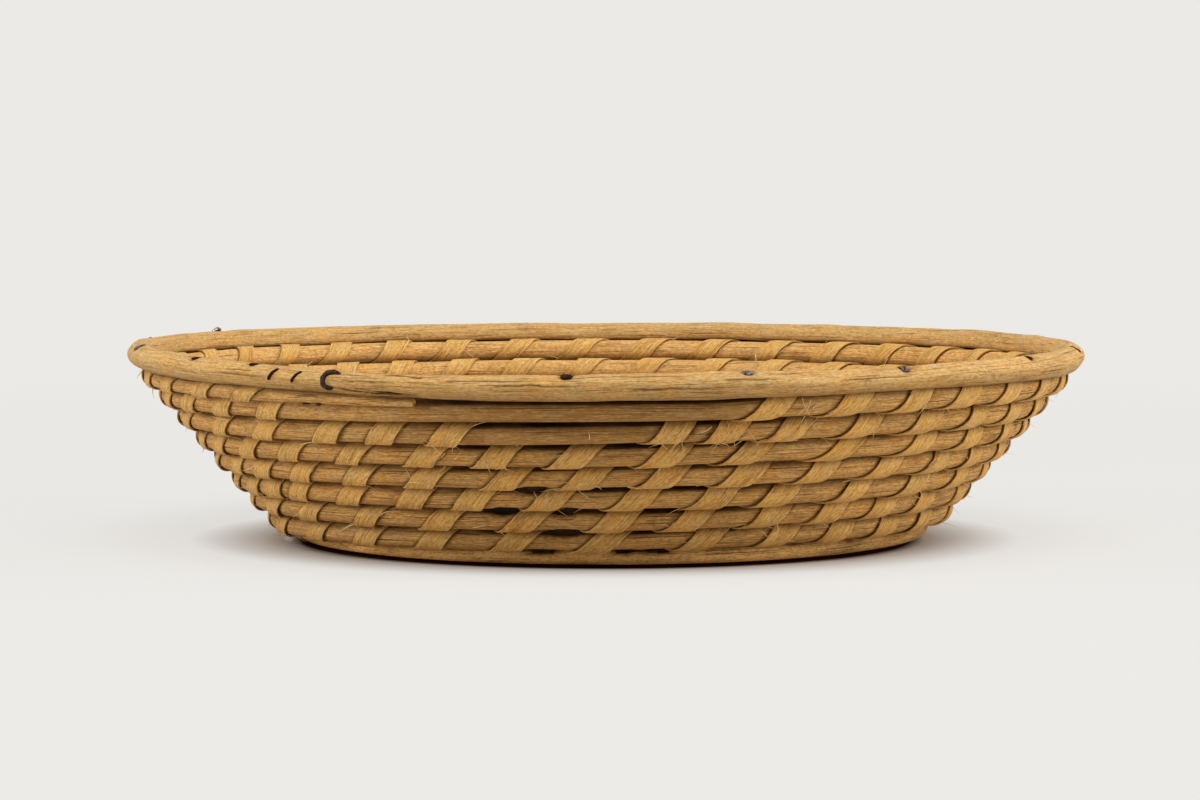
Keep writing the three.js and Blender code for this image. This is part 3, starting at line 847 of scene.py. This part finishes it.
# How much painted shade a place on a rod has, and less than nothing where it has painted light: the sum of the
# lengths that it lies in, and the inner side of the wall.
def lightAndShadeAt(turns, around):
    lightAndShade, edge = 0 * turns, rods["toneEdge"]
    for start, end, share in litAndShadedLengths:
        begun, over = (smooth(at - edge, at + edge, turns) for at in (start, end))
        lightAndShade = lightAndShade + share * begun * (1 - over)
    inward = smooth(*rods["inside"], -np.cos(around))
    dusted = smooth(coil["baseEnd"], coil["baseEnd"] + rods["dustedFrom"], turns)
    return lightAndShade * (1 - inward * (1 - dusted)) - rods["insideLight"] * inward * dusted


def lengthAlong(turns):  # arc length from the first turn, by adding up short steps
    radius = profileAt(turns)[0]
    steps = fullTurn * np.diff(turns) * (radius[1:] + radius[:-1]) / 2
    return np.concatenate([[0], np.cumsum(steps)])


# Where a place on a rod lies from the strip over it, for the painted shadow and dirt along the strip's edges.
# The first two numbers are the cosine and sine of the angle by which the strip is past the place, times the
# length of rod per radian. The third is half the strip's width, or less than nothing where no strip is near.
def stitchAt(turns, around):
    circle = circleAt(turns)
    ahead, perRadian, half = 0 * turns, 0 * turns + 1.0, 0 * turns - rods["noStrip"]
    for strand in strands:
        beyond = np.maximum(strand["start"] - turns, turns - strand["end"]) * circle
        here = beyond < strand["width"]
        rate = np.gradient(strand["numbers"], strand["turns"])
        number, rate = (np.interp(turns, strand["turns"], values) for values in (strand["numbers"], rate))
        ahead = np.where(here, fullTurn * number, ahead)
        perRadian = np.where(here, circle / (fullTurn * rate), perRadian)
        half = np.where(here, strand["width"] / 2 - rods["bareFade"] * np.maximum(beyond, 0), half)
    angle = ahead - around
    half = half - rods["innerEdge"] * np.clip(-np.cos(around), 0, 1)
    return together(perRadian * np.cos(angle), perRadian * np.sin(angle), half)


# One length of rod: rings round its middle line, with its ends cut on the slant at its splices.
def rodPiece(name, node, start, end, startSplice, endSplice, stepLength):
    radius = profileAt(np.array([start, end]))[0].mean()
    turns = np.linspace(start, end, int(fullTurn * (end - start) * radius / stepLength))
    t, a = turns[:, None], anglesRound(rods["sides"])
    sideways, along, out, up, radius = skinAt(t, a)
    thin = mix(rods["coreTip"], 1, smooth(coreStart, coreStart + rods["coreTaper"], t))
    sideways, along = thin * sideways, thin * along
    half = radius - rods["lapTip"]
    for splice, side in ((startSplice, 1), (endSplice, -1)):
        if splice is None:
            continue
        level = half * (1 - 2 * (t - splice) / coil["spliceTurns"]) + side * rods["lapGap"] / 2
        inside = (t - splice) * side < (coil["spliceTurns"] if side > 0 else 0) + rods["cutReach"]
        along, sideways = cutBack(along, sideways, inside, side, level, radius)
    body = ringBody(coilPoint(t, out + sideways, up + along))
    values = {"stitch": stitchAt(t, a), "lightAndShade": lightAndShadeAt(t, a)}
    values["straight"] = together(lengthAlong(turns)[:, None], sideways, along)
    values["groove"] = grooveAt(t, a, 1.0)
    addPiece(name, body, rodCane, "cane_rod", [node], rods["sharp"], **values)


lowSplice, highSplice, fine = coil["baseEnd"], coil["wallSplice"], rods["stepLength"]
rodPiece("base_rod", "base_coil_rod", coreStart, baseLapEnd, None, lowSplice, rods["baseStepLength"])
rodPiece("lower_wall_rod", "wall_coil_rod_lower", lowSplice, wallLapEnd, lowSplice, highSplice, fine)
rodPiece("upper_wall_rod", "wall_coil_rod_upper", highSplice, coil["end"], highSplice, None, fine)
print("rods made")


# A strip wound round the rod: it goes once round for each stitch, crossing the outer side at whole numbers.
# Its section is a flat band with a crowned face, whose edges stand off where it is free.
def stripPiece(strand):
    first, last, seed = strand["first"], strand["last"], strand["seed"]
    number = np.linspace(first, last, int((last - first) * strips["stepsPerStitch"]))
    turns = strandTurns(strand["places"], number)
    across = strips["pointsAcross"]
    face = np.linspace(1, -1, across)
    section = np.concatenate([face, face[::-1]])  # the outer face, then the inner one
    isOuter = np.concatenate([np.ones(across), np.zeros(across)])
    n, t, s = number[:, None], turns[:, None], section[None, :]
    around = fullTurn * n
    ragged = swayed(n + strips["raggedShift"] * s, strips["ragged"], seed + 7) * np.abs(s) ** 3
    widen = 1 + swayed(n, strips["widening"], seed + 5) + ragged
    shift = s * widen * strand["width"] / 2 / circleAt(t)
    free = np.cos(around) ** 2  # 1 on the outer and inner sides, 0 between two turns
    ends = smooth(0, strips["endTaper"], np.minimum(n - first, last - n))
    skew = 1 + s * swayed(n, strips["skew"], seed + 6)
    stand = strand["lift"] * (strips["heldLift"] + (1 - strips["heldLift"]) * free) * s**2 * skew * ends
    thick = mix(strand["thickness"], strips["edgeThickness"], s**4) * isOuter
    thick = thick * mix(strips["endThickness"], 1, ends)
    height = strips["seat"] + stand + thick
    points = onRod(t + shift, around + 0 * s, height)
    steps = np.linalg.norm(np.diff(points[:, across // 2], axis=0), axis=1)
    length = np.concatenate([[0], np.cumsum(steps)])[:, None]
    sideways = s * strand["width"] * strips["fibreShare"]
    straight = together(length, sideways, height + seed * strips["fibreShift"])
    groove = np.maximum(grooveAt(t + 0 * s, around + 0 * s), strips["underside"] * (1 - isOuter))
    body, looks = ringBody(points), {"straight": straight, "groove": groove}
    addPiece(strand["name"], body, stripCane, "cane_strip", [strand["node"]], strips["sharp"], **looks)


for strand in strands:
    stripPiece(strand)
print("strips made")

# Rim rod, lapped at the front left
rim = {
    "sides": 72,
    "steps": 1340,
    "lapAngle": -33.0,  # degrees from the front, of the pointed outer end
    "lapLength": 24.5,  # degrees
    "tip": 0.25,
    "gap": 0.25,
    "wobble": (0.2, 0.12),  # millimetres, over turns
    "thickness": (0.02, 0.07),  # share of the radius, over turns
    "squareness": 0.035,  # share of the radius by which the corners of the section stand out
    "ridge": 10.0,  # degrees above level, of the corner on the outer side
    "ridgeSwing": (0.25, 0.3),  # radians by which it wanders, and the period in turns
    "flats": 1.1,  # against those of the coil's rod
    "settle": 0.45,  # share of its thinness by which a thin stretch sinks towards the coil
    "markSwing": (3.0, 0.02),  # degrees by which a mark wanders, and the period in turns
    "markEnds": 0.4,
    "craterDepth": 0.55,
    "craterWidth": 1.9,
    "sharp": 50,
}
# How dark the rim is painted: painted shade where it faces down and on its lower outer face, darker round the
# nails and in its marks, and a painted shadow line where it meets the coil. A pair gives the two ends of an
# easy change.
rimShade = {
    "below": (1.2, -0.5, 1.5),
    "lower": 0.08,
    "lowerFrom": (0.05, -0.25),
    "lowerOuter": (-0.2, 0.3),
    "nails": 0.9,
    "marks": (0.2, 0.8),
    "darkest": 0.97,
    "line": (0.80, 0.95),
}
# Share of the rim's full thickness at degrees from the front
rimGirth = {
    -110: 1.0, -70: 0.96, -45: 0.89, -34: 0.82, -27: 0.82, -20: 0.86, -12: 0.93,
    0: 0.97, 12: 1.0, 22: 0.88, 36: 0.85, 50: 0.92, 75: 1.0,
}
# Cracks and the seam of the lap on the rim: places along each, as degrees from the front and degrees up from
# level round the rim, then its width and depth
rimMarks = [
    [[(-33.0, -28), (-31.0, -40), (-27.5, -52), (-21.5, -68)], 0.42, 0.5],
    [[(-32.5, 52), (-29.0, 60), (-24.0, 57), (-19.0, 62)], 0.30, 0.3],
    [[(-23.0, 50), (-21.3, 56)], 0.5, 0.35],
    [[(-31.5, 5), (-28.5, 12), (-25.0, 8)], 0.22, 0.2],
    [[(-19.5, 30), (-15.0, 36), (-8.0, 33)], 0.22, 0.2],
    [[(-14.0, 8), (-9.0, 12), (-3.0, 9)], 0.20, 0.2],
    [[(-6.0, 52), (1.0, 57), (8.5, 54)], 0.24, 0.25],
    [[(2.0, -12), (7.0, -8), (13.0, -14)], 0.20, 0.2],
    [[(12.0, 24), (16.5, 20), (18.0, 30)], 0.24, 0.25],
    [[(17.0, 58), (22.0, 62)], 0.24, 0.25],
    [[(26.0, 12), (31.0, 16), (36.0, 13)], 0.20, 0.2],
    [[(-49.0, 20), (-44.0, 26)], 0.24, 0.2],
]
towardsCoil = np.array([-0.667, -0.744])  # sideways and down, from the rim to the turn below it


# How far the rim's middle lies from its line, and its radius: it wobbles, and a thin stretch sinks.
def rimMiddle(angle):
    girth = np.interp(360 * angle, list(rimGirth), list(rimGirth.values()), period=360)
    sink, seed = rim["settle"] * rimRadius * (1 - girth), seeds["rim"]
    out = towardsCoil[0] * sink + swayed(angle, rim["wobble"], seed + 1)
    up = towardsCoil[1] * sink + swayed(angle, rim["wobble"], seed)
    return out, up, rimRadius * girth * (1 + swayed(angle, rim["thickness"], seed + 2))


# Share by which the rim's skin stands off a circle: a rounded square with a corner at the ridge, and flats.
def rimSection(angle, around):
    corner = around - math.radians(rim["ridge"]) + swayed(angle, rim["ridgeSwing"], seeds["rim"] + 3)
    flats = rim["flats"] * flatsAt(angle, around, seeds["rimFlats"])
    return rim["squareness"] * np.cos(4 * corner) + flats


# How deep and how dark the rim's marks are at a place: each is a line through its points, which narrows
# towards its ends.
def marksAt(turns, around):
    degrees = 360 * (np.mod(turns + 0.5, 1) - 0.5)
    level = np.degrees(np.mod(around + math.pi, fullTurn) - math.pi)
    perDegree = fullTurn * rimRadius / 360
    depth, dark = 0, 0
    for passes, width, sunk in rimMarks:
        at, height = np.array(passes, float).T
        swing = swayed(degrees / 360, rim["markSwing"], seeds["rim"] + 4)
        wanted = np.interp(degrees, at, height) + swing
        share = (degrees - at[0]) / (at[-1] - at[0])
        narrow = np.clip(4 * share * (1 - share), 0, 1) ** rim["markEnds"]
        line = np.exp(-(((level - wanted) * perDegree / width) ** 2)) * narrow * ((share > 0) & (share < 1))
        depth, dark = depth + sunk * line, np.maximum(dark, line)
    return depth, dark


# Nails that hold the rim down: each bends over to its head on the upper outer side of the rim.
nails = {
    "headRadius": 1.55,
    "headHeight": 0.5,
    "headShare": 0.9,  # of the greatest reach from a packed nail's line, beyond which all is head
    "headFrom": 1.2,  # the same here, against the shank's radius
    "brim": (0.92, 0.12),  # of the head's underside: share of its radius, and how far it hangs down
    "collar": 0.25,  # how far below the head its underside begins
    "dome": [(1.0, 0.05), (0.95, 0.45), (0.72, 0.8), (0.38, 0.97)],  # shares of the head's radius and height
    "lopsided": [(2, 0.09), (3, 0.06)],  # count of bulges round the head, and their share of its radius
    "phases": (0, 6),  # radians, of the bulges
    "shankRadius": 0.6,
    "shankLength": 6.0,  # below the rim's middle
    "tip": (0.02, 0.9),  # radius of its end, and length of its point
    "bend": (0.8, 1.0),  # the shank is straight up to here, and the bend is made from here
    "tilt": 32.0,  # degrees by which a head at the front is turned up
    "tilted": (-0.1, 0.4),  # how squarely a nail faces the front where that turn begins and is full
    "sunk": 0.5,  # how deep a head lies in the rim
    "places": 3600,  # round the rim, the nearest of which a nail takes
    "sides": 20,
    "raised": "rim_nail_12",
    "raisedBy": 1.1,
    "raisedShank": 1.15,
    "raisedHeight": 2.2,
    "count": 16,
}
# How bare the steel of a head is, where it isn't nearly black
polished = {"rim_nail_02": 0.6, "rim_nail_03": 0.45, "rim_nail_12": 0.9, "rim_nail_14": 0.3}


# Line of a packed nail: a point on it and its direction, from the mesh's longest axis, towards the head.
def nailAxis(name):
    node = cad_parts[name]
    points = np.array([v.co for v in node.data.vertices]) / mm
    points = np.unique(np.round(points, 3), axis=0)
    middle = points.mean(0)
    axis = np.linalg.svd(points - middle, full_matrices=False)[2][0]
    wide = np.linalg.norm(np.cross(points - middle, axis), axis=1)
    head = points[wide > nails["headShare"] * wide.max()].mean(0)
    return head, axis * np.sign((head - middle) @ axis)


# Where a nail's head goes: the rim's middle beside it, the direction of its shank and of its head, and the
# distance of the head from the rim's middle.
def nailPlace(name):
    head, axis = nailAxis(name)
    angles = np.linspace(0, 1, nails["places"], endpoint=False)
    line = rimPoint(angles, *rimMiddle(angles)[:2])
    nearest = np.linalg.norm(line - (head - axis * rimRadius), axis=1).argmin()
    sky = np.array([0, 0, 1.0]) - axis[2] * axis
    sky /= np.linalg.norm(sky)
    tilt = math.radians(nails["tilt"]) * smooth(*nails["tilted"], -axis[1])
    facing = axis * math.cos(tilt) + sky * math.sin(tilt)
    reach = float(rimMiddle(angles[nearest])[2]) - nails["sunk"]
    raised = nails["raisedBy"] if name == nails["raised"] else 0
    return line[nearest], axis, facing, reach, raised


nailNames = [f"rim_nail_{i + 1:02d}" for i in range(nails["count"])]
nailPlaces = {name: nailPlace(name) for name in nailNames}


# The ring goes once round and laps itself. Over the lap the cut moves from the outer side to the inner one
# as a cosine, the first end outside it and the last end inside. The skin dips round each nail's head.
def rimPiece():
    first = rim["lapAngle"] / 360
    lap = rim["lapLength"] / 360
    turns = np.linspace(first, first + 1 + lap, rim["steps"])[:, None]
    around = anglesRound(rim["sides"])
    cos, sin = np.cos(around), np.sin(around)
    out, up, radius = rimMiddle(turns)
    reach = radius * (1 + rimSection(turns, around))
    skin = rimPoint(turns, out + reach * cos, up + reach * sin)
    crater = 0
    for middle, _, facing, distance, _ in nailPlaces.values():
        away = np.linalg.norm(skin - (middle + facing * distance), axis=-1)
        crater = crater + np.exp(-((away / rim["craterWidth"]) ** 4))
    depth, dark = marksAt(turns, around)
    reach = reach - rim["craterDepth"] * crater - depth
    sideways, along = reach * cos, reach * sin
    half = radius - rim["tip"]
    for begin, side in ((first, 1), (first + 1, -1)):
        share = (turns - begin) / lap
        level = half * np.cos(math.pi * np.clip(share, 0, 1)) + side * rim["gap"] / 2
        inside = (share < 1) if side > 0 else (share > 0)
        sideways, along = cutBack(sideways, along, inside, side, level, radius)
    body = ringBody(rimPoint(turns, out + sideways, up + along))
    length = circleAt(rimRows(0.0)) * (turns - first)
    straight = together(length, sideways, along)
    # painted shade on the rim's underside and lower outer face, and a painted shadow line towards the coil
    steep, start, ease = rimShade["below"]
    lower = smooth(*rimShade["lowerFrom"], np.sin(around - math.radians(rim["ridge"])))
    lower = lower * smooth(*rimShade["lowerOuter"], cos)
    groove = np.clip(-sin * steep + start, 0, 1) ** ease + rimShade["lower"] * lower
    groove = np.clip(groove + rimShade["nails"] * crater, 0, rimShade["nails"])
    groove = np.clip(groove + smooth(*rimShade["marks"], dark), 0, rimShade["darkest"])
    facing = cos * towardsCoil[0] + sin * towardsCoil[1]
    groove = np.maximum(groove, smooth(*rimShade["line"], facing))
    looks = {"straight": straight, "groove": groove}
    addPiece("rim_cane", body, rimCane, "rim_cane", ["rim_rod"], rim["sharp"], **looks)


rimPiece()
print("rim made")


# One piece of steel: a skin of rings, and how bare its steel is.
def steelPiece(name, rings, polish):
    addPiece(name + "_steel", ringBody(rings), steel, "steel", [name], steelFinish["sharp"], polish=polish)


# A nail is turned round its line, which bends at the rim's middle: radius against height over the head's
# underside, with a lopsided edge.
def nailPiece(name):
    middle, axis, facing, reach, raised = nailPlaces[name]
    draw = np.random.default_rng(seeds["nails"] + nailNames.index(name))
    big, tall = nails["headRadius"], nails["headHeight"] * (nails["raisedHeight"] if raised else 1)
    shank = nails["raisedShank"] if raised else nails["shankRadius"]
    seat = reach + raised
    tip, point = nails["tip"]
    straight, bent = nails["bend"]
    brim, drop = nails["brim"]
    outline = np.array([
        (tip, -nails["shankLength"] - point),
        (shank, -nails["shankLength"]),
        (shank, -straight),
        (shank, straight),
        (shank, seat - nails["collar"]),
        (big * brim, seat - drop),
        *[(big * across, seat + height * tall) for across, height in nails["dome"]],
        (tip, seat + tall),
    ])
    wide, level = outline[:, :1], outline[:, 1:]
    around = -anglesRound(nails["sides"])
    lopsided = 1
    for bulges, share in nails["lopsided"]:
        lopsided = lopsided + share * np.cos(bulges * around + draw.uniform(*nails["phases"]))
    wide = wide * np.where(wide > nails["headFrom"] * shank, lopsided, 1)
    along = unit(mix(axis, facing, smooth(-bent, bent, level)))
    side = unit(np.cross(along, [0, 0, 1.0]))
    ring = spokes(nails["sides"], side, np.cross(side, along))
    centre = middle + np.where(level > 0, facing, axis) * level
    steelPiece(name, centre[:, None] + wide[..., None] * ring, polished.get(name, 0.0))


for name in nailNames:
    nailPiece(name)

# Staples at the lap: degrees from the front, the wire's diameter, how bare its steel is, and the places
# that it passes, as millimetres to the right and degrees up from level round the rim. Both ends go in.
staples = {
    "lap_staple_1": [-40.6, 0.85, 0.0, [(0.4, 50), (0.0, 44), (-0.9, 20), (-1.9, -8), (-2.1, -14)]],
    "lap_staple_2": [-37.0, 0.85, 0.0, [(0.4, 46), (0.0, 40), (-1.2, 16), (-2.3, -10), (-2.5, -16)]],
    "lap_staple_3": [
        -33.4, 1.35, 0.1, [(3.6, 52), (1.4, 56), (0.0, 44), (-0.5, 12), (-0.4, -14), (0.5, -30), (2.2, -36)]
    ],
}
# The wire of the staples
wire = {
    "sides": 10,
    "steps": 40,
    "perDegree": 0.055,  # millimetres round the rim
    "smoothing": 5,  # steps
    "heights": (-0.9, 0.22),  # of its middle over the rim's skin, at its ends and along it, in diameters
    "sinkSteps": (0, 4),
    "tipShare": 0.6,  # of its thickness
    "tipSteps": (0, 12),
    "uneven": (0.16, 1.6),  # share of its thickness, and the period in millimetres
}


# A wire's round section carried along its route, which is smooth between the places that it passes.
def staplePiece(name):
    angle, diameter, polish, passes = staples[name]
    passes = np.array(passes, float)
    stops = np.concatenate([[0], np.cumsum(np.hypot(*(np.diff(passes, axis=0) * (1, wire["perDegree"])).T))])
    at = np.linspace(0, stops[-1], wire["steps"])
    window = np.ones(wire["smoothing"]) / wire["smoothing"]
    route = [np.pad(np.interp(at, stops, values), len(window) // 2, "edge") for values in passes.T]
    right, around = (np.convolve(values, window, "valid") for values in route)
    turns = angle / 360 + right / circleAt(rimRows(0.0))
    out, up, radius = rimMiddle(turns)
    theta = np.radians(around)
    fromEnd = np.minimum(np.arange(wire["steps"]), np.arange(wire["steps"])[::-1])
    reach = radius * (1 + rimSection(turns, theta))
    reach = reach + diameter * mix(*wire["heights"], smooth(*wire["sinkSteps"], fromEnd))
    route = rimPoint(turns, out + reach * np.cos(theta), up + reach * np.sin(theta))
    along = unit(np.gradient(route, axis=0))
    side = unit(np.cross(along, route - rimPoint(turns, out, up)))
    thick = diameter / 2 * (1 + swayed(at, wire["uneven"], seeds["wire"]))
    thick = thick * mix(wire["tipShare"], 1, smooth(*wire["tipSteps"], fromEnd))
    ring = spokes(wire["sides"], side, np.cross(side, along))
    steelPiece(name, route[:, None] + thick[:, None, None] * ring, polish)


for name in staples:
    staplePiece(name)
print("nails and staples made")

# Frayed fibres: hairs that have come up from the strips' edges and from the rods
fibres = {
    "count": 1200,
    "ends": (0.02, 0.98),  # shares of a strip's length between which its hairs stand
    "length": (1.5, 6.0),
    "width": 0.2,
    "lift": 0.35,  # share of its length by which a hair stands off
    "liftSpread": (0.4, 1.4),
    "liftEase": 1.3,
    "curl": 0.5,
    "spread": 40.0,  # degrees, of the directions
    "root": 0.35,  # height over the rod
    "tipShare": 0.15,  # of its width
    "widthSpread": (0.7, 1.3),
    "patternShift": 3.1,  # of the finish, from one hair to the next
    "probe": (0.001, 0.05, 1.0),  # turns, radians and height, by which its three directions are found
    "sides": 3,
    "steps": 6,
    "sharp": 50,
}
# The long ones at the front: turn, millimetres right of the front, degrees round the rod up from its outer
# side, length, direction in degrees up from the rod's own, and curl
longFibres = [
    (7.0, 44.5, 60, 5.0, 262, 0.25),
    (7.0, 46.5, 50, 3.6, 248, -0.3),
    (7.0, 60.0, 20, 3.4, 20, 0.5),
    (6.0, 13.5, -20, 4.4, 160, 0.4),
    (6.0, 27.5, 30, 3.6, 200, -0.4),
    (6.0, -4.6, 10, 3.2, 80, 0.3),
    (6.0, 41.0, -30, 4.0, 15, 0.3),
    (3.95, -9.5, 20, 4.4, 190, 0.3),
    (3.95, 0.6, 0, 3.2, 100, 0.5),
    (4.95, 21.0, 30, 3.6, 30, -0.3),
    (2.95, 26.0, 0, 3.8, 170, 0.4),
    (3.95, 36.0, -20, 3.4, 20, 0.4),
    (2.0, -32.0, 0, 4.2, 10, 0.4),
    (5.0, -52.0, 0, 3.8, 170, -0.4),
]
# Places where a strip is frayed: turn, millimetres right of the front, how far it spreads, count of hairs
frayedPlaces = [
    (6.0, 14.8, 1.1, 10),
    (6.0, 27.0, 2.6, 20),
    (7.0, 46.5, 1.2, 4),
    (5.0, -40.5, 1.6, 4),
    (1.0, -28.0, 2.4, 9),
]
frayed = {
    "around": (-45, 55),  # degrees round the rod
    "length": (1.6, 4.4),
    "direction": (55, 32),  # degrees: the middle and the spread
    "curl": 0.7,
}


# Hairs of the frayed places, in rows like those of the long ones.
def frayedHairs(draw):
    rows = []
    for turn, right, spread, count in frayedPlaces:
        side = 180 * draw.integers(0, 2, count)
        columns = (
            np.full(count, turn),
            right + spread * draw.normal(0, 1, count),
            draw.uniform(*frayed["around"], count),
            draw.uniform(*frayed["length"], count),
            draw.normal(*frayed["direction"], count) + side,
            draw.uniform(-frayed["curl"], frayed["curl"], count),
        )
        rows.append(np.stack(columns, -1))
    return np.concatenate(rows)


# A hair's middle line leaves its root along a direction and curls away from it with the square of the way;
# a thin three-sided skin round it narrows to the tip. All hairs are worked out at once.
def fibrePiece():
    draw = np.random.default_rng(seeds["fibres"])
    count = fibres["count"]
    strand = draw.integers(3, len(strands), count)  # the base's three strips have none
    share, side = draw.uniform(*fibres["ends"], count), draw.choice([-1, 1], count)
    turns, around = np.zeros(count), np.zeros(count)
    for i, s in enumerate(strands):
        here = strand == i
        number = mix(s["first"], s["last"], share[here])
        turns[here] = strandTurns(s["places"], number)
        turns[here] += side[here] * s["width"] / 2 / circleAt(turns[here])
        around[here] = fullTurn * number
    length = mix(*fibres["length"], draw.uniform(0, 1, count) ** 2)
    heading = draw.normal(0, fibres["spread"], count) + 180 * draw.integers(0, 2, count)
    curl = fibres["curl"] * draw.uniform(-1, 1, count)
    placed = np.concatenate([longFibres, frayedHairs(draw)])
    placed[:, 0] += placed[:, 1] / circleAt(placed[:, 0])
    turns = np.concatenate([turns, placed[:, 0]])
    around = np.concatenate([around, np.radians(placed[:, 2])])
    length = np.concatenate([length, placed[:, 3]])[:, None, None]
    heading = np.radians(np.concatenate([heading, placed[:, 4]]))[:, None]
    curl = np.concatenate([curl, placed[:, 5]])[:, None, None]
    low = fibres["root"]
    root = onRod(turns, around, low)
    probes = np.diag(fibres["probe"])
    ahead, over, outward = (unit(onRod(turns + i, around + j, low + k) - root) for i, j, k in probes)
    main = np.cos(heading) * ahead + np.sin(heading) * over
    across = np.cross(outward, main)
    way = np.linspace(0, 1, fibres["steps"])[None, :, None]
    lift = fibres["lift"] * mix(*fibres["liftSpread"], draw.uniform(0, 1, len(turns)))[:, None, None]
    line = way * main[:, None] + lift * way ** fibres["liftEase"] * outward[:, None]
    line = root[:, None] + length * (line + curl * way**2 * across[:, None])
    wide = fibres["width"] / 2 * (1 - (1 - fibres["tipShare"]) * way[..., None] ** 2)
    wide = wide * mix(*fibres["widthSpread"], draw.uniform(0, 1, (len(turns), 1, 1, 1)))
    rings = line[:, :, None] + wide * spokes(fibres["sides"], across, np.cross(main, across))[:, None]
    bodies = [ringBody(hair) for hair in rings]
    perHair = fibres["sides"] * fibres["steps"]
    points = np.concatenate([body[0] for body in bodies])
    loops = np.concatenate([body[1] + i * perHair for i, body in enumerate(bodies)])
    body = (points, loops, np.concatenate([body[2] for body in bodies]))
    straight = np.zeros(points.shape)
    straight[:, 0] = np.arange(len(points)) // perHair * fibres["patternShift"]
    looks = {"straight": straight, "groove": 0.0}
    addPiece("frayed_fibres", body, hairCane, "cane_strip", [], fibres["sharp"], **looks)


fibrePiece()
print("fibres made")

# Camera, at the place the photograph was taken from
view = {
    "distance": 1000.0,
    "height": 93.55,
    "right": -1.43,
    "pitch": 3.303,  # degrees down
    "focal": 3806.3,  # pixels, in a picture 1200 wide
    "imageWidth": 1200.0,
    "sensor": 36.0,
    "clip": (0.05, 50.0),  # metres
}


def addCamera():
    data = bpy.data.cameras.new("camera")
    data.sensor_width = view["sensor"]
    data.lens = view["focal"] / view["imageWidth"] * view["sensor"]
    data.clip_start, data.clip_end = view["clip"]
    camera = newObject("camera", data)
    camera.location = (view["right"] * mm, -view["distance"] * mm, view["height"] * mm)
    camera.rotation_euler = (math.radians(90 - view["pitch"]), 0, 0)
    bpy.context.scene.camera = camera


addCamera()

# Floor, backdrop and lights
stage = {
    "seen": (0.83, 0.82, 0.795),  # colour of the floor and the backdrop as the camera sees them
    "bounce": (0.66, 0.60, 0.53),  # the floor's colour for the light that it throws back
    "surround": (0.19, 0.185, 0.18),  # light from all sides
    "shadowReach": 0.085,  # metres from the middle, out to where the floor takes the basket's full shadow
    "shadowEnd": 0.109,
    "shadowLeft": 0.17,  # share of the shadow left there
    "shadowGone": 0.8,
    "under": (0.032, 0.009, 0.003),  # painted shadow: the floor's colour in the basket's own shadow, as the camera sees it
    "underMiddle": (0.0795, 0.0815),
    "underReach": (0.0795, 0.0835),
    "underForward": 0.005,  # how far that painted shadow lies towards the front
    "size": 12.0,
}


def seenDirectly(tree):  # 1 for the camera's rays and for reflections
    rays = addNode(tree, "LightPath", {}).outputs
    return maths(tree, "MAXIMUM", rays["Is Camera Ray"], rays["Is Glossy Ray"])


# The floor takes the shadow near the basket and blends into the even tone of the backdrop further out.
def addStage():
    material, tree = newMaterial("pale_floor")
    seen = seenDirectly(tree)
    place = addNode(tree, "TexCoord", {}).outputs["Object"]
    away = lengthOf(tree, place)
    # a painted shadow on the floor round the basket's foot, for the camera's rays only
    back = addNode(tree, "VectorMath", {0: place, 1: (0, stage["underForward"], 0)}, operation="ADD")
    reach = remap(tree, lengthOf(tree, back.outputs[0]), stage["underReach"])
    under = maths(tree, "MINIMUM", reach, remap(tree, away, stage["underMiddle"]))
    tint = blendColour(tree, seen, stage["bounce"], blendColour(tree, under, stage["under"], stage["seen"]))
    matt = addNode(tree, "BsdfDiffuse", {"Color": tint})
    even = addNode(tree, "Emission", {"Color": colour(stage["seen"]), "Strength": 1.0})
    near = remap(tree, away, (stage["shadowReach"], stage["shadowEnd"]), (0.0, 1 - stage["shadowLeft"]))
    far = remap(tree, away, (stage["shadowEnd"], stage["shadowGone"]), (0.0, stage["shadowLeft"]))
    fade = times(tree, maths(tree, "ADD", near, far), seen)
    surface = addNode(tree, "MixShader", {0: fade, 1: matt.outputs[0], 2: even.outputs[0]})
    addNode(tree, "OutputMaterial", {"Surface": surface.outputs[0]})
    half = stage["size"]
    mesh = bpy.data.meshes.new("floor")
    corners = [(-half, -half, 0), (half, -half, 0), (half, half, 0), (-half, half, 0)]
    mesh.from_pydata(corners, [], [(0, 1, 2, 3)])
    mesh.materials.append(material)
    floor = newObject("floor", mesh)

    world = bpy.data.worlds.new("studio")
    bpy.context.scene.world = world
    world.use_nodes = True
    tree = world.node_tree
    tree.nodes.clear()
    tint = blendColour(tree, seenDirectly(tree), stage["surround"], stage["seen"])
    back = addNode(tree, "Background", {"Color": tint, "Strength": 1.0})
    addNode(tree, "OutputWorld", {"Surface": back.outputs[0]})


# Each lamp: place and aim in metres, width in metres, watts, colour
lamps = {
    "overhead": [(0.15, -0.58, 1.40), (0, 0, 0), 1.5, 19.0, (1.0, 0.98, 0.95)],
    "right": [(1.6, -0.2, 0.45), (0, 0, 0.02), 0.9, 13.2, (1.0, 0.97, 0.93)],
    "left": [(-1.6, -0.2, 0.4), (0, 0, 0.02), 0.9, 13.0, (1.0, 0.97, 0.93)],
}


def addLamps():
    for name, (place, aim, width, watts, tint) in lamps.items():
        data = bpy.data.lights.new(name, "AREA")
        data.shape = "DISK"
        data.size = width
        data.energy = watts
        data.color = tint
        lamp = newObject(name, data)
        lamp.location = place
        back = np.array(place) - np.array(aim)
        level = math.hypot(back[0], back[1])
        lamp.rotation_euler = (math.atan2(level, back[2]), 0, math.atan2(back[0], -back[1]))


addStage()
addLamps()
bpy.context.scene.view_settings.view_transform = "Standard"
print("stage made")
